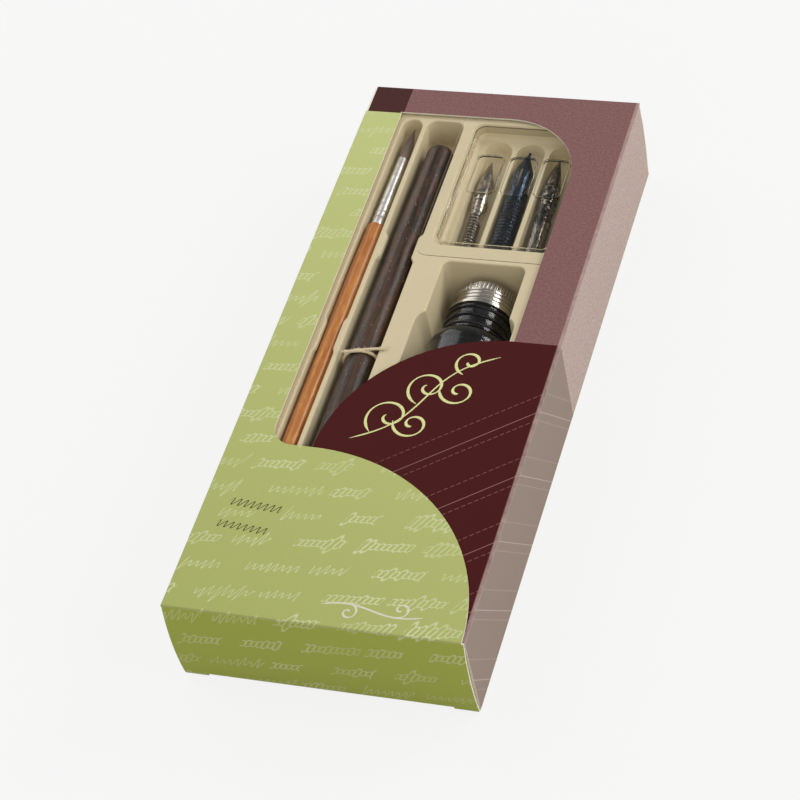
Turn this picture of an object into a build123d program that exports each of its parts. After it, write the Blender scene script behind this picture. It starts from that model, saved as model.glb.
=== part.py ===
from build123d import *
import math
import os

# Calligraphy set box: a creased board carton with a shaped window, a formed tray,
# a clear nib cover, and the pen holder, brush, nibs and ink bottle that lie in the tray.
#
# Frame: X across the carton, Y along the pens towards the brush tip, Z up out of the
# window. The origin is the middle of the back panel's outer face. Millimetres.
#
# The tools set the tray's pockets, the pockets set the tray, and the tray sets the
# carton, so a change of one size moves everything that depends on it.

os.makedirs("parts", exist_ok=True)

# ---- carton board ------------------------------------------------------------
board = 0.5                     # thickness of the board
fold_radius = 0.35              # outer rounding of a crease
crease_gap = 0.05               # between two panels that turn about a crease
slip = 0.2                      # between board faces that slide past each other
closure_bow = 1.2               # how far an end flap bulges outward
ear_width = 6.6                 # uncut end of a closure's lower edge, beside the tab
ear_drop = 0.9                  # how much lower the ears reach than the tab's crease
tab_length = 13.0
tab_lift = 0.6                  # room under a tuck tab, which dips as it is pulled out
tab_swing = 1.3                 # room over a tuck tab, which rises as it is pulled out
tab_corner = 5.0
tab_notch_play = 2.0            # from a tuck tab's tip to the end of the skirt's notch
dust_flap_reach = 20.0
dust_flap_lower_edge = 3.0      # above the back panel's outer face, at the crease
dust_flap_top_slope = 26.0      # degrees
dust_flap_low_slope = 15.0      # degrees
dust_flap_corner = 1.5
cut_over = 1.0                  # how far a cutting shape runs past what it cuts

# ---- tray --------------------------------------------------------------------
tray_wall = 0.6
tray_corner = 3.0
tray_side_play = 0.6            # between the skirt and the side panels
tray_end_play = 0.45            # between the skirt and the dust flaps
tray_foot = 0.6                 # the deepest pocket stays this far above the skirt's edge
rim_radius = 0.5                # rounding of the pockets' rims and the tray's edge
pocket_floor_corner = 1.2       # rounding of the pockets' floors
cover_room = 0.6                # between the tray's top and the window panel
left_margin = 11.0
right_margin = 10.2
brush_rib = 1.4                 # between the brush and holder channels
holder_rib = 3.2                # between the holder channel and the nib compartment
top_margin = 10.3
lower_margin = 7.8
channel_draft = 3.0             # degrees
seat_gap = 0.25                 # under a tool that lies in its pocket

# ---- brush -------------------------------------------------------------------
hair_length = 14.0
ferrule_length = 28.0
handle_length = 129.4
brush_belly = 5.2               # widest diameter of the handle
handle_neck = 4.9               # diameter beside the ferrule
handle_tail = 4.0
belly_from_neck = 44.0          # from the ferrule to the handle's widest place
handle_neck_bevel = 0.4         # length of the bevel beside the ferrule
handle_neck_step = 0.15         # and its height
ferrule_mouth = 3.0             # outer diameters
ferrule_root = 3.7
ferrule_wall = 0.2
crimp_from_root = 3.2           # from the ferrule's root to its first crimp
crimp_pitch = 2.2
crimp_radius = 0.22
crimp_sink = 0.08
tenon_length = 9.0
brush_play = 0.45               # each side in the channel
brush_end_play = 0.6
brush_channel_drop = 0.1        # the brush channel starts this much lower than the holder's
brush_sink = 0.3                # the handle's top lies this far below the tray's top
hair_root = 0.9                 # how deep the hair is set in the ferrule
hair_slice = 0.54               # thickness of the root slice that holds the bristles
strand_count = 320
strand_margin = 0.06            # between the outer bristles and the ferrule
strand_girth = 0.42             # a bristle's radius, as a share of its room in the root
shortest_strand = 0.42          # share of the length that the outermost bristles lack
hair_belly_at = 4.0             # from the bristles' roots to the bundle's belly
hair_swell = 1.28               # the bundle's belly, as a share of its root
hair_closing = 1.12             # how much of that the point loses

# ---- pen holder --------------------------------------------------------------
holder_length = 165.0
holder_top_diameter = 8.0
holder_diameter = 8.8
holder_grip = 9.0
grip_length = 34.0
holder_top_taper = 40.0         # length over which the barrel thins to its top end
holder_end_taper = 0.9          # how much the grip thins at the socket, in radius
holder_dome = 3.6               # rounding of the barrel's top end
holder_channel_corner = 2.8
holder_play = 1.05              # each side in the channel
holder_top_play = 7.5
holder_low_play = 3.4
socket_bore = 6.6
socket_depth = 14.0
socket_wall = 0.3
socket_lip = 1.2                # how far the socket's collar shows past the wood
collar_step = 0.3               # how far the collar stands out over the wood's bore
petal_inset = 1.4               # between the bore and the petals
petal_end = 2.0                 # from the wood's end to the petals' free ends
petal_root = 2.0                # uncut length between the slits and the cup's floor
petal_slit = 0.8
twine = 0.6                     # twine diameter
tie_turns = 1
tie_pitch = 0.95
tie_from_top = 85.1             # from the barrel's top end to the winding
tie_slant = 10.0                # degrees
tie_gap = 0.18                  # between the winding and the wood
tie_start_reach = 5.4           # loose ends beyond the barrel's crown
tie_end_reach = 7.2
tie_samples_per_turn = 48       # places at which the gap between the turns is measured

# ---- nibs --------------------------------------------------------------------
nib_sheet = 0.35
nib_slit = 0.14
stem_under_axis = 0.75          # a stem's open underside, as a share of its radius
groove_pitch = 9.8
groove_width = 8.4
groove_depth = 4.4
groove_draft = 8.0
groove_top_play = 2.9
groove_low_play = 1.5
groove_low_corner = 1.6
compartment_side_margin = 3.5
compartment_top_margin = 2.4
compartment_low_margin = 1.1
compartment_top_drop = 0.1      # below the holder channel's top end
compartment_depth = 4.9
compartment_draft = 12.0
compartment_corner = 3.0
waisted_nib_length = 38.0
broad_nib_length = 42.0
embossed_nib_length = 40.0
waisted_stem = 3.9              # stem diameters
broad_stem = 6.4
embossed_stem = 5.2
waisted_tip_drop = 6.4          # from the groove's top end to the tip
broad_tip_drop = groove_top_play
embossed_tip_drop = 4.3
waisted_blade = 25.4            # from the tip to where the stem closes
broad_blade = 16.4
embossed_blade = 25.0
waisted_lean = 2.2              # degrees that a nib lies turned in its groove
broad_lean = 0.8
embossed_lean = 1.5

# ---- clear nib cover ---------------------------------------------------------
cover_sheet = 0.3
cover_left_overlap = 3.7        # flange beyond the compartment's edges
cover_right_overlap = 2.6
cover_top_overlap = 4.0
cover_low_overlap = 4.7
cover_corner = 3.6
cover_inset = 0.8
cover_recess = 2.3
hump_height = 0.8
hump_length = 16.0
hump_width = 8.6
hump_from_top = 11.1            # from the compartment's top edge to the humps
hump_corner = 2.2

# ---- ink bottle --------------------------------------------------------------
bottle_diameter = 24.2
bottle_glass_length = 50.8
glass_wall = 1.4
base_thickness = 2.0
base_radius = 1.6
shoulder_length = 6.0
neck_diameter = 20.0
neck_length = 8.7
neck_rings = 3
neck_ring_rise = 0.5            # how far the rings stand out
neck_ring_depth = 2.0
neck_ring_width = 1.22
shoulder_out = 0.72             # where the shoulder's arc passes, as shares of its width
shoulder_up = 0.62              # and of its length
finish_diameter = 16.0
finish_length = 7.6
bottle_bore = 11.4
ink_gap = 0.05                  # between the ink and the glass
ink_air = 3.2                   # depth of the air space over the ink
cap_diameter = 18.4
cap_length = 8.7
cap_lip_diameter = 20.0         # flared lower edge
cap_lip_length = 0.9
cap_lip_slope = 0.9             # length over which the skirt flares out to the lip
cap_wall = 0.4
cap_flutes = 54
flute_depth = 0.3
flute_radius = 0.38
flute_length = 2.8
cap_rounding = 0.5
cap_grooves = 3
cap_groove_from_low = 2.4       # from the lip's lower edge to the first groove
cap_groove_pitch = 1.3
liner_thickness = 0.7
liner_gap = 0.05                # between the liner and the glass
liner_side_gap = 0.1            # between the liner and the cap's skirt
cap_top_play = 3.0              # room above the cap, which lets it be unscrewed
bottle_low_play = 1.5
bottle_side_play = 1.9
bottle_sink = 0.55              # the bottle's top lies this far below the tray's top
pocket_corner = 2.2
pocket_draft = 1.5
neck_zone_inset = 2.1           # the pocket is narrower beside the neck
neck_zone_length = 19.0
neck_zone_slope = 4.1
divider = 6.0                   # between the nib compartment and the bottle pocket
pinch_depth = 1.5               # snap-in bosses at the rims of the two channels
pinch_slope = 1.6               # length of a boss's slanted ends
brush_pinch = 0.6               # how far a boss stands out from the channel's side
brush_pinch_length = 13.3
brush_pinch_from_top = 86.9     # from the channel's top end to the bosses' middle
holder_pinch = 1.0
holder_pinch_length = 11.0
holder_pinch_from_top = 51.9

# ---- window and overlay ------------------------------------------------------
window_left_reveal = 1.0        # left of the brush channel
window_top_reveal = 1.55        # above the holder channel
window_right_overlap = 1.6      # the panel covers this much of the nib compartment
window_corner = 22.9
sill_drop = 28.85               # from the bottle pocket's top end to the sill's top
sill_radius = 44.0
overlay_top_drop = 11.45        # from the carton's top edge
overlay_corner = 6.5
overlay_radius = 56.5
overlay_arc_side = 0.7          # from the carton's right side to the arc's lower end
overlay_lap = 0.5               # the window's left edge stays this far under the overlay
overlay_low_lap = 2.0           # and its lower edge this far
window_foot = 1.0               # shortest straight run below the sill's left end

# ---- tray layout, worked out from the sizes above -----------------------------
brush_length = hair_length + ferrule_length + handle_length
brush_channel_width = brush_belly + 2 * brush_play
holder_channel_width = holder_grip + 2 * holder_play
compartment_width = 2 * groove_pitch + groove_width + 2 * compartment_side_margin
bottle_pocket_width = bottle_diameter + 2 * bottle_side_play
longest_nib = max(waisted_nib_length, broad_nib_length, embossed_nib_length)
groove_length = longest_nib + groove_top_play + groove_low_play
compartment_length = compartment_top_margin + groove_length + compartment_low_margin
bottle_length = bottle_glass_length + liner_gap + liner_thickness + cap_wall
bottle_pocket_length = bottle_length + cap_top_play + bottle_low_play

right_column_width = max(compartment_width, bottle_pocket_width)
tray_width = (left_margin + brush_channel_width + brush_rib + holder_channel_width
              + holder_rib + right_column_width + right_margin)
holder_column = holder_length + holder_top_play + holder_low_play
brush_column = brush_channel_drop + brush_length + 2 * brush_end_play
right_column = compartment_top_drop + compartment_length + divider + bottle_pocket_length
tray_length = top_margin + max(holder_column, brush_column, right_column) + lower_margin

half_tray_width = tray_width / 2
half_tray_length = tray_length / 2
brush_channel_x = -half_tray_width + left_margin + brush_channel_width / 2
holder_channel_x = (brush_channel_x + brush_channel_width / 2 + brush_rib
                    + holder_channel_width / 2)
right_column_x = (holder_channel_x + holder_channel_width / 2 + holder_rib
                  + right_column_width / 2)
column_top = half_tray_length - top_margin
compartment_top = column_top - compartment_top_drop
groove_top = compartment_top - compartment_top_margin
bottle_pocket_top = compartment_top - compartment_length - divider

# ---- heights -----------------------------------------------------------------
skirt_edge = board + slip
bottle_pocket_depth = bottle_sink + bottle_diameter + seat_gap
tray_top = skirt_edge + tray_foot + tray_wall + bottle_pocket_depth
window_panel_low = tray_top + cover_room
window_panel_top = window_panel_low + board
carton_height = window_panel_top + board
bottle_z = tray_top - bottle_sink - bottle_diameter / 2
brush_z = tray_top - brush_sink - brush_belly / 2
holder_z = tray_top - holder_diameter / 2
brush_channel_depth = brush_sink + brush_belly + seat_gap
holder_low_reach = max(holder_grip / 2, holder_diameter / 2 + tie_gap + twine)
holder_channel_depth = holder_diameter / 2 + holder_low_reach + seat_gap
compartment_floor = tray_top - compartment_depth
groove_floor = compartment_floor - groove_depth

# ---- carton ------------------------------------------------------------------
half_width = half_tray_width + tray_side_play + board
half_length = half_tray_length + tray_end_play + board + slip + board
closure_half_width = half_width - slip
tab_underside = board + tab_lift
tab_turn_y = half_length - board - crease_gap - board / 2     # a tuck tab's crease
tab_turn_z = tab_underside + board / 2
dust_flap_face = half_length - board - slip     # outer face of a dust flap, from the middle
dust_flap_turn_x = half_width - board - crease_gap - board / 2   # a dust flap's crease
dust_flap_turn_y = dust_flap_face - board / 2
window_left = brush_channel_x - brush_channel_width / 2 - window_left_reveal
window_top = column_top + window_top_reveal
window_right = right_column_x + compartment_width / 2 - window_right_overlap
sill_top = bottle_pocket_top - sill_drop
overlay_top = half_length - overlay_top_drop
overlay_arc_top = -half_length + overlay_radius
overlay_arc_x = half_width - overlay_arc_side - overlay_radius


# ==== carton panels ===========================================================
with BuildPart() as back_panel:
    with BuildSketch(Plane.XY):
        Rectangle(2 * half_width, 2 * (half_length - board - crease_gap))
    extrude(amount=board)
    fillet(back_panel.edges().filter_by(Axis.Y).group_by(Axis.Z)[0], fold_radius)
back_panel.part.label = "back_panel"
export_step(back_panel.part, "parts/back_panel.step")


def side_panel(side, top):
    """Long side of the carton; side is -1 for the left and 1 for the right."""
    with BuildPart() as panel:
        with BuildSketch(Plane.XY.offset(board)):
            with Locations((side * (half_width - board / 2), 0)):
                Rectangle(board, 2 * dust_flap_face)
        extrude(amount=top - board)
    return panel.part


left_side_panel = side_panel(-1, window_panel_top)
left_side_panel.label = "left_side_panel"
export_step(left_side_panel, "parts/left_side_panel.step")

right_side_panel = side_panel(1, window_panel_low)
right_side_panel.label = "right_side_panel"
export_step(right_side_panel, "parts/right_side_panel.step")

# The window panel is the inner front layer. Its window has a large round corner at the
# top right and a round sill that rises from lower left to upper right.
with BuildPart() as window_panel:
    panel_left = -half_width + board
    panel_low_end = -half_length + board + crease_gap
    with BuildSketch(Plane.XY.offset(window_panel_low)):
        with Locations(((panel_left + half_width) / 2, (panel_low_end + half_length) / 2)):
            Rectangle(half_width - panel_left, half_length - panel_low_end)
    extrude(amount=board)
    outer_edges = window_panel.edges().group_by(Axis.Z)[-1]
    fillet(outer_edges.filter_by(Axis.Y).sort_by(Axis.X)[-1:]
           + outer_edges.filter_by(Axis.X).sort_by(Axis.Y)[-1:], fold_radius)
    sill_left = window_right - sill_radius
    sill_low = sill_top - sill_radius
    hidden_left = window_left - overlay_lap
    hidden_low = overlay_arc_top - overlay_low_lap
    with BuildSketch(Plane.XY.offset(window_panel_low)):
        with BuildLine():
            head = Line((hidden_left, window_top), (window_right - window_corner, window_top))
            corner = RadiusArc(head @ 1, (window_right, window_top - window_corner), window_corner)
            jamb = Line(corner @ 1, (window_right, sill_top))
            sill = RadiusArc(jamb @ 1, (sill_left, sill_low), -sill_radius)
            foot = Line(sill @ 1, (sill_left, min(hidden_low, sill_low - window_foot)))
            low = Line(foot @ 1, (hidden_left, (foot @ 1).Y))
            Line(low @ 1, head @ 0)
        make_face()
    extrude(amount=board, mode=Mode.SUBTRACT)
window_panel.part.label = "window_panel"
export_step(window_panel.part, "parts/window_panel.step")

# The overlay is the outer front layer: a strip down the left side that widens, through a
# small round corner and one large arc, into the carton's full width at the lower end.
with BuildPart() as front_overlay_panel:
    overlay_right = overlay_arc_x + overlay_radius
    with BuildSketch(Plane.XY.offset(window_panel_top)):
        with BuildLine():
            left = Line((-half_width, -half_length), (-half_width, overlay_top))
            head = Line(left @ 1, (window_left, overlay_top))
            strip = Line(head @ 1, (window_left, overlay_arc_top + overlay_corner))
            turn = RadiusArc(strip @ 1, (window_left + overlay_corner, overlay_arc_top),
                             -overlay_corner)
            crest = Line(turn @ 1, (overlay_arc_x, overlay_arc_top))
            arc = RadiusArc(crest @ 1, (overlay_right, -half_length), overlay_radius)
            Line(arc @ 1, left @ 0)
        make_face()
    extrude(amount=board)
    outer_edges = front_overlay_panel.edges().group_by(Axis.Z)[-1]
    fillet(outer_edges.filter_by(Axis.Y).sort_by(Axis.X)[:1]
           + outer_edges.filter_by(Axis.X).sort_by(Axis.Y)[:1], fold_radius)
front_overlay_panel.part.label = "front_overlay_panel"
export_step(front_overlay_panel.part, "parts/front_overlay_panel.step")


def end_closure(end, front_face):
    """Bowed end flap creased to the front panel; end is -1 or 1 along Y."""
    outer_y = end * half_length
    inner_y = outer_y - end * board
    high = front_face - board - crease_gap
    low = tab_underside - ear_drop
    middle = (high + low) / 2
    with BuildPart() as flap:
        with BuildSketch(Plane.YZ):
            with BuildLine():
                outside = ThreePointArc((outer_y, high), (outer_y + end * closure_bow, middle),
                                        (outer_y, low))
                edge = Line(outside @ 1, (inner_y, low))
                inside = ThreePointArc(edge @ 1, (inner_y + end * closure_bow, middle),
                                       (inner_y, high))
                Line(inside @ 1, outside @ 0)
            make_face()
        extrude(amount=closure_half_width, both=True)
        with BuildSketch(Plane.XY.offset(low)):
            with Locations((0, outer_y)):
                Rectangle(2 * (closure_half_width - ear_width), 4 * (board + closure_bow))
        extrude(amount=ear_drop - crease_gap, mode=Mode.SUBTRACT)
    return flap.part


def tuck_tab(end):
    """Tab creased to a closure's lower edge, lying along the back panel.

    Its root is rolled, about the line on which the tab turns.
    """
    half_tab = closure_half_width - ear_width - slip
    tip = tab_turn_y + board / 2 - tab_length
    with BuildPart() as tab:
        with BuildSketch(Plane.YZ):
            with BuildLine():
                under = Line((end * tip, tab_underside), (end * tab_turn_y, tab_underside))
                root = ThreePointArc(under @ 1, (end * (tab_turn_y + board / 2), tab_turn_z),
                                     (end * tab_turn_y, tab_underside + board))
                over = Line(root @ 1, (end * tip, tab_underside + board))
                Line(over @ 1, under @ 0)
            make_face()
        extrude(amount=half_tab, both=True)
        tip_corners = tab.edges().filter_by(Axis.Z).sort_by(lambda edge: edge.center().Y * end)[:2]
        fillet(tip_corners, tab_corner)
    return tab.part


def dust_flap(side, end):
    """Tapered flap creased to a side panel's end and folded in behind the closure.

    Its root is rolled, about the line on which the flap turns.
    """
    turn_x = side * dust_flap_turn_x
    crease_x = turn_x + side * board / 2
    free_x = crease_x - side * dust_flap_reach
    outer_y = end * dust_flap_face
    inner_y = outer_y - end * board
    crease_low = dust_flap_lower_edge
    crease_high = window_panel_low - slip
    free_low = crease_low + dust_flap_reach * math.tan(math.radians(dust_flap_low_slope))
    free_high = crease_high - dust_flap_reach * math.tan(math.radians(dust_flap_top_slope))
    with BuildPart() as flap:
        with BuildSketch(Plane.XY.offset(crease_low)):
            with BuildLine():
                outside = Line((free_x, outer_y), (turn_x, outer_y))
                root = ThreePointArc(outside @ 1, (crease_x, end * dust_flap_turn_y),
                                     (turn_x, inner_y))
                inside = Line(root @ 1, (free_x, inner_y))
                Line(inside @ 1, outside @ 0)
            make_face()
        extrude(amount=crease_high - crease_low)
        with BuildSketch(Plane.XZ):
            with BuildLine():
                Polyline((crease_x, crease_low), (crease_x, crease_high),
                         (free_x, free_high), (free_x, free_low), close=True)
            make_face()
        extrude(amount=half_length, both=True, mode=Mode.INTERSECT)
        free_edges = flap.edges().filter_by(Axis.Y).sort_by(Axis.X)
        fillet(free_edges[:2] if side > 0 else free_edges[-2:], dust_flap_corner)
    return flap.part


for end, end_name, front_face in ((-1, "bottom", carton_height), (1, "top", window_panel_top)):
    closure = end_closure(end, front_face)
    closure.label = end_name + "_closure"
    export_step(closure, "parts/" + closure.label + ".step")
    tab = tuck_tab(end)
    tab.label = end_name + "_tuck_tab"
    export_step(tab, "parts/" + tab.label + ".step")
    for side, side_name in ((-1, "left"), (1, "right")):
        flap = dust_flap(side, end)
        flap.label = "dust_flap_" + end_name + "_" + side_name
        export_step(flap, "parts/" + flap.label + ".step")


# ==== tray ====================================================================
def pocket(x, top_y, width, length, depth, corner, draft, mouth=tray_top):
    """Solid that fills a drafted pocket, from its mouth plane down to its floor."""
    floor_corner = min(pocket_floor_corner, 0.3 * width, 0.45 * depth)
    with BuildPart() as body:
        with BuildSketch(Plane.XY.offset(mouth)):
            with Locations((x, top_y - length / 2)):
                RectangleRounded(width, length, min(corner, 0.49 * width))
        extrude(amount=-depth, taper=draft)
        fillet(body.faces().sort_by(Axis.Z)[0].edges(), floor_corner)
    return body.part


def pocket_pair(x, top_y, width, length, depth, corner, draft, mouth=tray_top):
    """The hollow of a pocket and the same hollow grown by the sheet's thickness."""
    hollow = pocket(x, top_y, width, length, depth, corner, draft, mouth)
    wall = tray_wall
    shell = pocket(x, top_y + wall, width + 2 * wall, length + 2 * wall, depth + wall,
                   corner + wall, draft, mouth)
    return hollow, shell


brush_channel_top = column_top - brush_channel_drop
brush_channel_length = brush_length + 2 * brush_end_play
groove_xs = [right_column_x + step * groove_pitch for step in (-1, 0, 1)]

pocket_pairs = [
    pocket_pair(brush_channel_x, brush_channel_top, brush_channel_width, brush_channel_length,
                brush_channel_depth, brush_channel_width / 2, channel_draft),
    pocket_pair(holder_channel_x, column_top, holder_channel_width, holder_column,
                holder_channel_depth, holder_channel_corner, channel_draft),
    pocket_pair(right_column_x, compartment_top, compartment_width, compartment_length,
                compartment_depth, compartment_corner, compartment_draft),
    pocket_pair(right_column_x, bottle_pocket_top, bottle_pocket_width - 2 * neck_zone_inset,
                bottle_pocket_length, bottle_pocket_depth, pocket_corner, pocket_draft),
    pocket_pair(right_column_x, bottle_pocket_top - neck_zone_length, bottle_pocket_width,
                bottle_pocket_length - neck_zone_length, bottle_pocket_depth, neck_zone_slope,
                pocket_draft),
]
# Each nib groove is round at its top end and nearly square at its low end.
for groove_x in groove_xs:
    for drop, corner in ((0, groove_width / 2), (groove_width, groove_low_corner)):
        pocket_pairs.append(
            pocket_pair(groove_x, groove_top - drop, groove_width, groove_length - drop,
                        groove_depth, corner, groove_draft, compartment_floor))

with BuildPart() as tray:
    with BuildSketch(Plane.XY.offset(skirt_edge)):
        RectangleRounded(tray_width, tray_length, tray_corner)
    extrude(amount=tray_top - skirt_edge)
    with BuildSketch(Plane.XY.offset(skirt_edge)):
        RectangleRounded(tray_width - 2 * tray_wall, tray_length - 2 * tray_wall,
                         tray_corner - tray_wall)
    extrude(amount=tray_top - skirt_edge - tray_wall, mode=Mode.SUBTRACT)
    add([shell for hollow, shell in pocket_pairs])
    add([hollow for hollow, shell in pocket_pairs], mode=Mode.SUBTRACT)
    # Low bosses narrow the channels' rims, so that the tools snap in.
    for x, width, reach, length, y in (
            (brush_channel_x, brush_channel_width, brush_pinch, brush_pinch_length,
             brush_channel_top - brush_pinch_from_top),
            (holder_channel_x, holder_channel_width, holder_pinch, holder_pinch_length,
             column_top - holder_pinch_from_top)):
        for side in (-1, 1):
            wall_x = x + side * width / 2
            inner_x = wall_x - side * reach
            with BuildSketch(Plane.XY.offset(tray_top)):
                with BuildLine():
                    Polyline((wall_x + side * tray_wall, y - length / 2), (wall_x, y - length / 2),
                             (inner_x, y - length / 2 + pinch_slope),
                             (inner_x, y + length / 2 - pinch_slope), (wall_x, y + length / 2),
                             (wall_x + side * tray_wall, y + length / 2), close=True)
                make_face()
            extrude(amount=-pinch_depth)
    top_face = tray.faces().filter_by(Axis.Z).sort_by(Axis.Z)[-1]
    fillet(top_face.edges(), rim_radius)
    # The skirt is cut back at both ends, where the tuck tabs slide in under the tray.
    notch_height = tab_underside + board + tab_swing - skirt_edge
    notch_length = tab_length + tab_notch_play
    with BuildSketch(Plane.XY.offset(skirt_edge)):
        with Locations((0, half_tray_length), (0, -half_tray_length)):
            Rectangle(tray_width, 2 * notch_length)
    extrude(amount=notch_height, mode=Mode.SUBTRACT)
tray.part.label = "tray"
export_step(tray.part, "parts/tray.step")


# ==== clear nib cover =========================================================
cover_left = right_column_x - compartment_width / 2 - cover_left_overlap
cover_right = right_column_x + compartment_width / 2 + cover_right_overlap
cover_top = compartment_top + cover_top_overlap
cover_low = compartment_top - compartment_length - cover_low_overlap
recess_width = compartment_width - 2 * cover_inset
recess_length = compartment_length - 2 * cover_inset
recess_top = compartment_top - cover_inset
recess_floor = tray_top - cover_recess
hump_y = compartment_top - hump_from_top - hump_length / 2

with BuildPart() as nib_cover:
    with BuildSketch(Plane.XY.offset(tray_top)):
        with Locations(((cover_left + cover_right) / 2, (cover_low + cover_top) / 2)):
            RectangleRounded(cover_right - cover_left, cover_top - cover_low, cover_corner)
    extrude(amount=cover_sheet)
    with BuildSketch(Plane.XY.offset(tray_top)):
        with Locations((right_column_x, recess_top - recess_length / 2)):
            RectangleRounded(recess_width, recess_length, compartment_corner)
    extrude(amount=-cover_recess, taper=compartment_draft)
    with BuildSketch(Plane.XY.offset(tray_top + cover_sheet)):
        with Locations((right_column_x, recess_top - recess_length / 2)):
            RectangleRounded(recess_width - 2 * cover_sheet, recess_length - 2 * cover_sheet,
                             compartment_corner - cover_sheet)
    extrude(amount=-cover_recess, taper=compartment_draft, mode=Mode.SUBTRACT)
    hump_places = [(x, hump_y) for x in groove_xs]
    with BuildSketch(Plane.XY.offset(recess_floor)):
        with Locations(*hump_places):
            RectangleRounded(hump_width, hump_length, hump_corner)
    extrude(amount=cover_sheet + hump_height, taper=compartment_draft)
    with BuildSketch(Plane.XY.offset(recess_floor)):
        with Locations(*hump_places):
            RectangleRounded(hump_width - 2 * cover_sheet, hump_length - 2 * cover_sheet,
                             hump_corner - cover_sheet)
    extrude(amount=hump_height, taper=compartment_draft, mode=Mode.SUBTRACT)
nib_cover.part.label = "nib_cover"
export_step(nib_cover.part, "parts/nib_cover.step")


# ==== nibs ====================================================================
def nib(x, tip_y, length, stem_diameter, stem_from, shell_radii, half_widths, vent, ball, lean):
    """Nib pressed from sheet, lying along Y with its back up.

    shell_radii and half_widths are (distance from the tip, size) pairs along the blade,
    vent is the breather hole's (distance, length, width), ball is the radius of the
    writing ball, or 0 for a plain point, and lean turns the nib about its stem's end.
    """
    stem_radius = stem_diameter / 2
    z = groove_floor + seat_gap + stem_under_axis * stem_radius
    stem_end = tip_y - length
    axis = Axis((x, 0, z), (0, 1, 0))
    outer = [(radius, tip_y - distance) for distance, radius in shell_radii]
    inner = [(radius - nib_sheet, y) for radius, y in outer]
    with BuildPart() as piece:
        with BuildSketch(Plane((x, 0, z))):
            with BuildLine():
                back = Spline(*outer, tangents=((0.35, -1), (0, -1)))
                back_end = Line(back @ 1, (stem_radius, stem_end))
                foot = Line(back_end @ 1, (stem_radius - nib_sheet, stem_end))
                belly_end = Line(foot @ 1, inner[-1])
                belly = Spline(*reversed(inner), tangents=((0, 1), (-0.35, 1)))
                Line(belly @ 1, back @ 0)
            make_face()
        revolve(axis=axis)
        # The blade is trimmed to its outline, and the stem stays a rolled tube.
        right = [(width, tip_y - distance) for distance, width in half_widths]
        left = [(-width, y) for width, y in reversed(right)]
        wide = stem_radius + cut_over
        with BuildSketch(Plane((x, 0, z))):
            with BuildLine():
                flank = Spline(*right)
                Polyline(flank @ 1, (wide, tip_y - stem_from), (wide, stem_end - cut_over),
                         (-wide, stem_end - cut_over), (-wide, tip_y - stem_from), left[0])
                other_flank = Spline(*left)
                Line(other_flank @ 1, flank @ 0)
            make_face()
        extrude(amount=wide, both=True, mode=Mode.INTERSECT)
        # The seam under the stem stays open, and the blade has no underside.
        with Locations((x, tip_y - stem_from / 2 + cut_over, z - wide)):
            Box(2 * wide, stem_from + 2 * cut_over, 2 * wide, mode=Mode.SUBTRACT)
        with Locations((x, (tip_y + stem_end) / 2, z - stem_under_axis * stem_radius - wide)):
            Box(2 * wide, length + 2 * cut_over, 2 * wide, mode=Mode.SUBTRACT)
        vent_at, vent_length, vent_width = vent
        with BuildSketch(Plane((x, 0, z))):
            with Locations((0, tip_y - vent_at - vent_length / 2)):
                SlotOverall(vent_length, vent_width, rotation=90)
            with Locations((0, tip_y - vent_at / 2)):
                Rectangle(nib_slit, vent_at + cut_over)
        extrude(amount=wide, mode=Mode.SUBTRACT)
        if ball:
            with Locations((x, tip_y, z + shell_radii[0][1] - nib_sheet / 2)):
                Sphere(ball)
    return piece.part.rotate(Axis((x, stem_end, z), (0, 0, 1)), lean)


nib_waisted = nib(
    groove_xs[0], groove_top - waisted_tip_drop, waisted_nib_length, waisted_stem, waisted_blade,
    shell_radii=[(0, 0.7), (9.5, 2.45), (18.5, 2.6), (23.4, 2.1),
                 (waisted_blade + 1.0, waisted_stem / 2)],
    half_widths=[(0, 0.12), (6.0, 1.6), (11.4, 2.35), (14.2, 1.95), (18.6, 2.45),
                 (23.4, 1.35), (waisted_blade, 1.8)],
    vent=(8.6, 3.0, 0.7), ball=0, lean=waisted_lean)
nib_waisted.label = "nib_waisted"
export_step(nib_waisted, "parts/nib_waisted.step")

nib_broad = nib(
    groove_xs[1], groove_top - broad_tip_drop, broad_nib_length, broad_stem, broad_blade,
    shell_radii=[(0, 0.9), (9.9, 3.19), (13.0, broad_stem / 2)],
    half_widths=[(0, 0.2), (4.5, 1.5), (9.9, 3.1), (14.8, 2.7), (broad_blade, 3.0)],
    vent=(8.2, 7.8, 0.7), ball=0.45, lean=broad_lean)
nib_broad.label = "nib_broad"
export_step(nib_broad, "parts/nib_broad.step")

nib_embossed = nib(
    groove_xs[2], groove_top - embossed_tip_drop, embossed_nib_length, embossed_stem,
    embossed_blade,
    shell_radii=[(0, 0.7), (11.3, 2.8), (18.0, 2.85), (23.0, embossed_stem / 2)],
    half_widths=[(0, 0.12), (5.5, 1.4), (11.3, 2.45), (18.0, 2.75), (22.0, 2.45),
                 (embossed_blade, 2.5)],
    vent=(9.0, 2.0, 0.9), ball=0, lean=embossed_lean)
nib_embossed.label = "nib_embossed"
export_step(nib_embossed, "parts/nib_embossed.step")


# ==== pen holder ==============================================================
holder_axis = Axis((holder_channel_x, 0, holder_z), (0, 1, 0))
holder_plane = Plane((holder_channel_x, 0, holder_z))
holder_top = column_top - holder_top_play
holder_low = holder_top - holder_length
socket_step = socket_bore / 2
wood_low = holder_low + socket_lip

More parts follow.
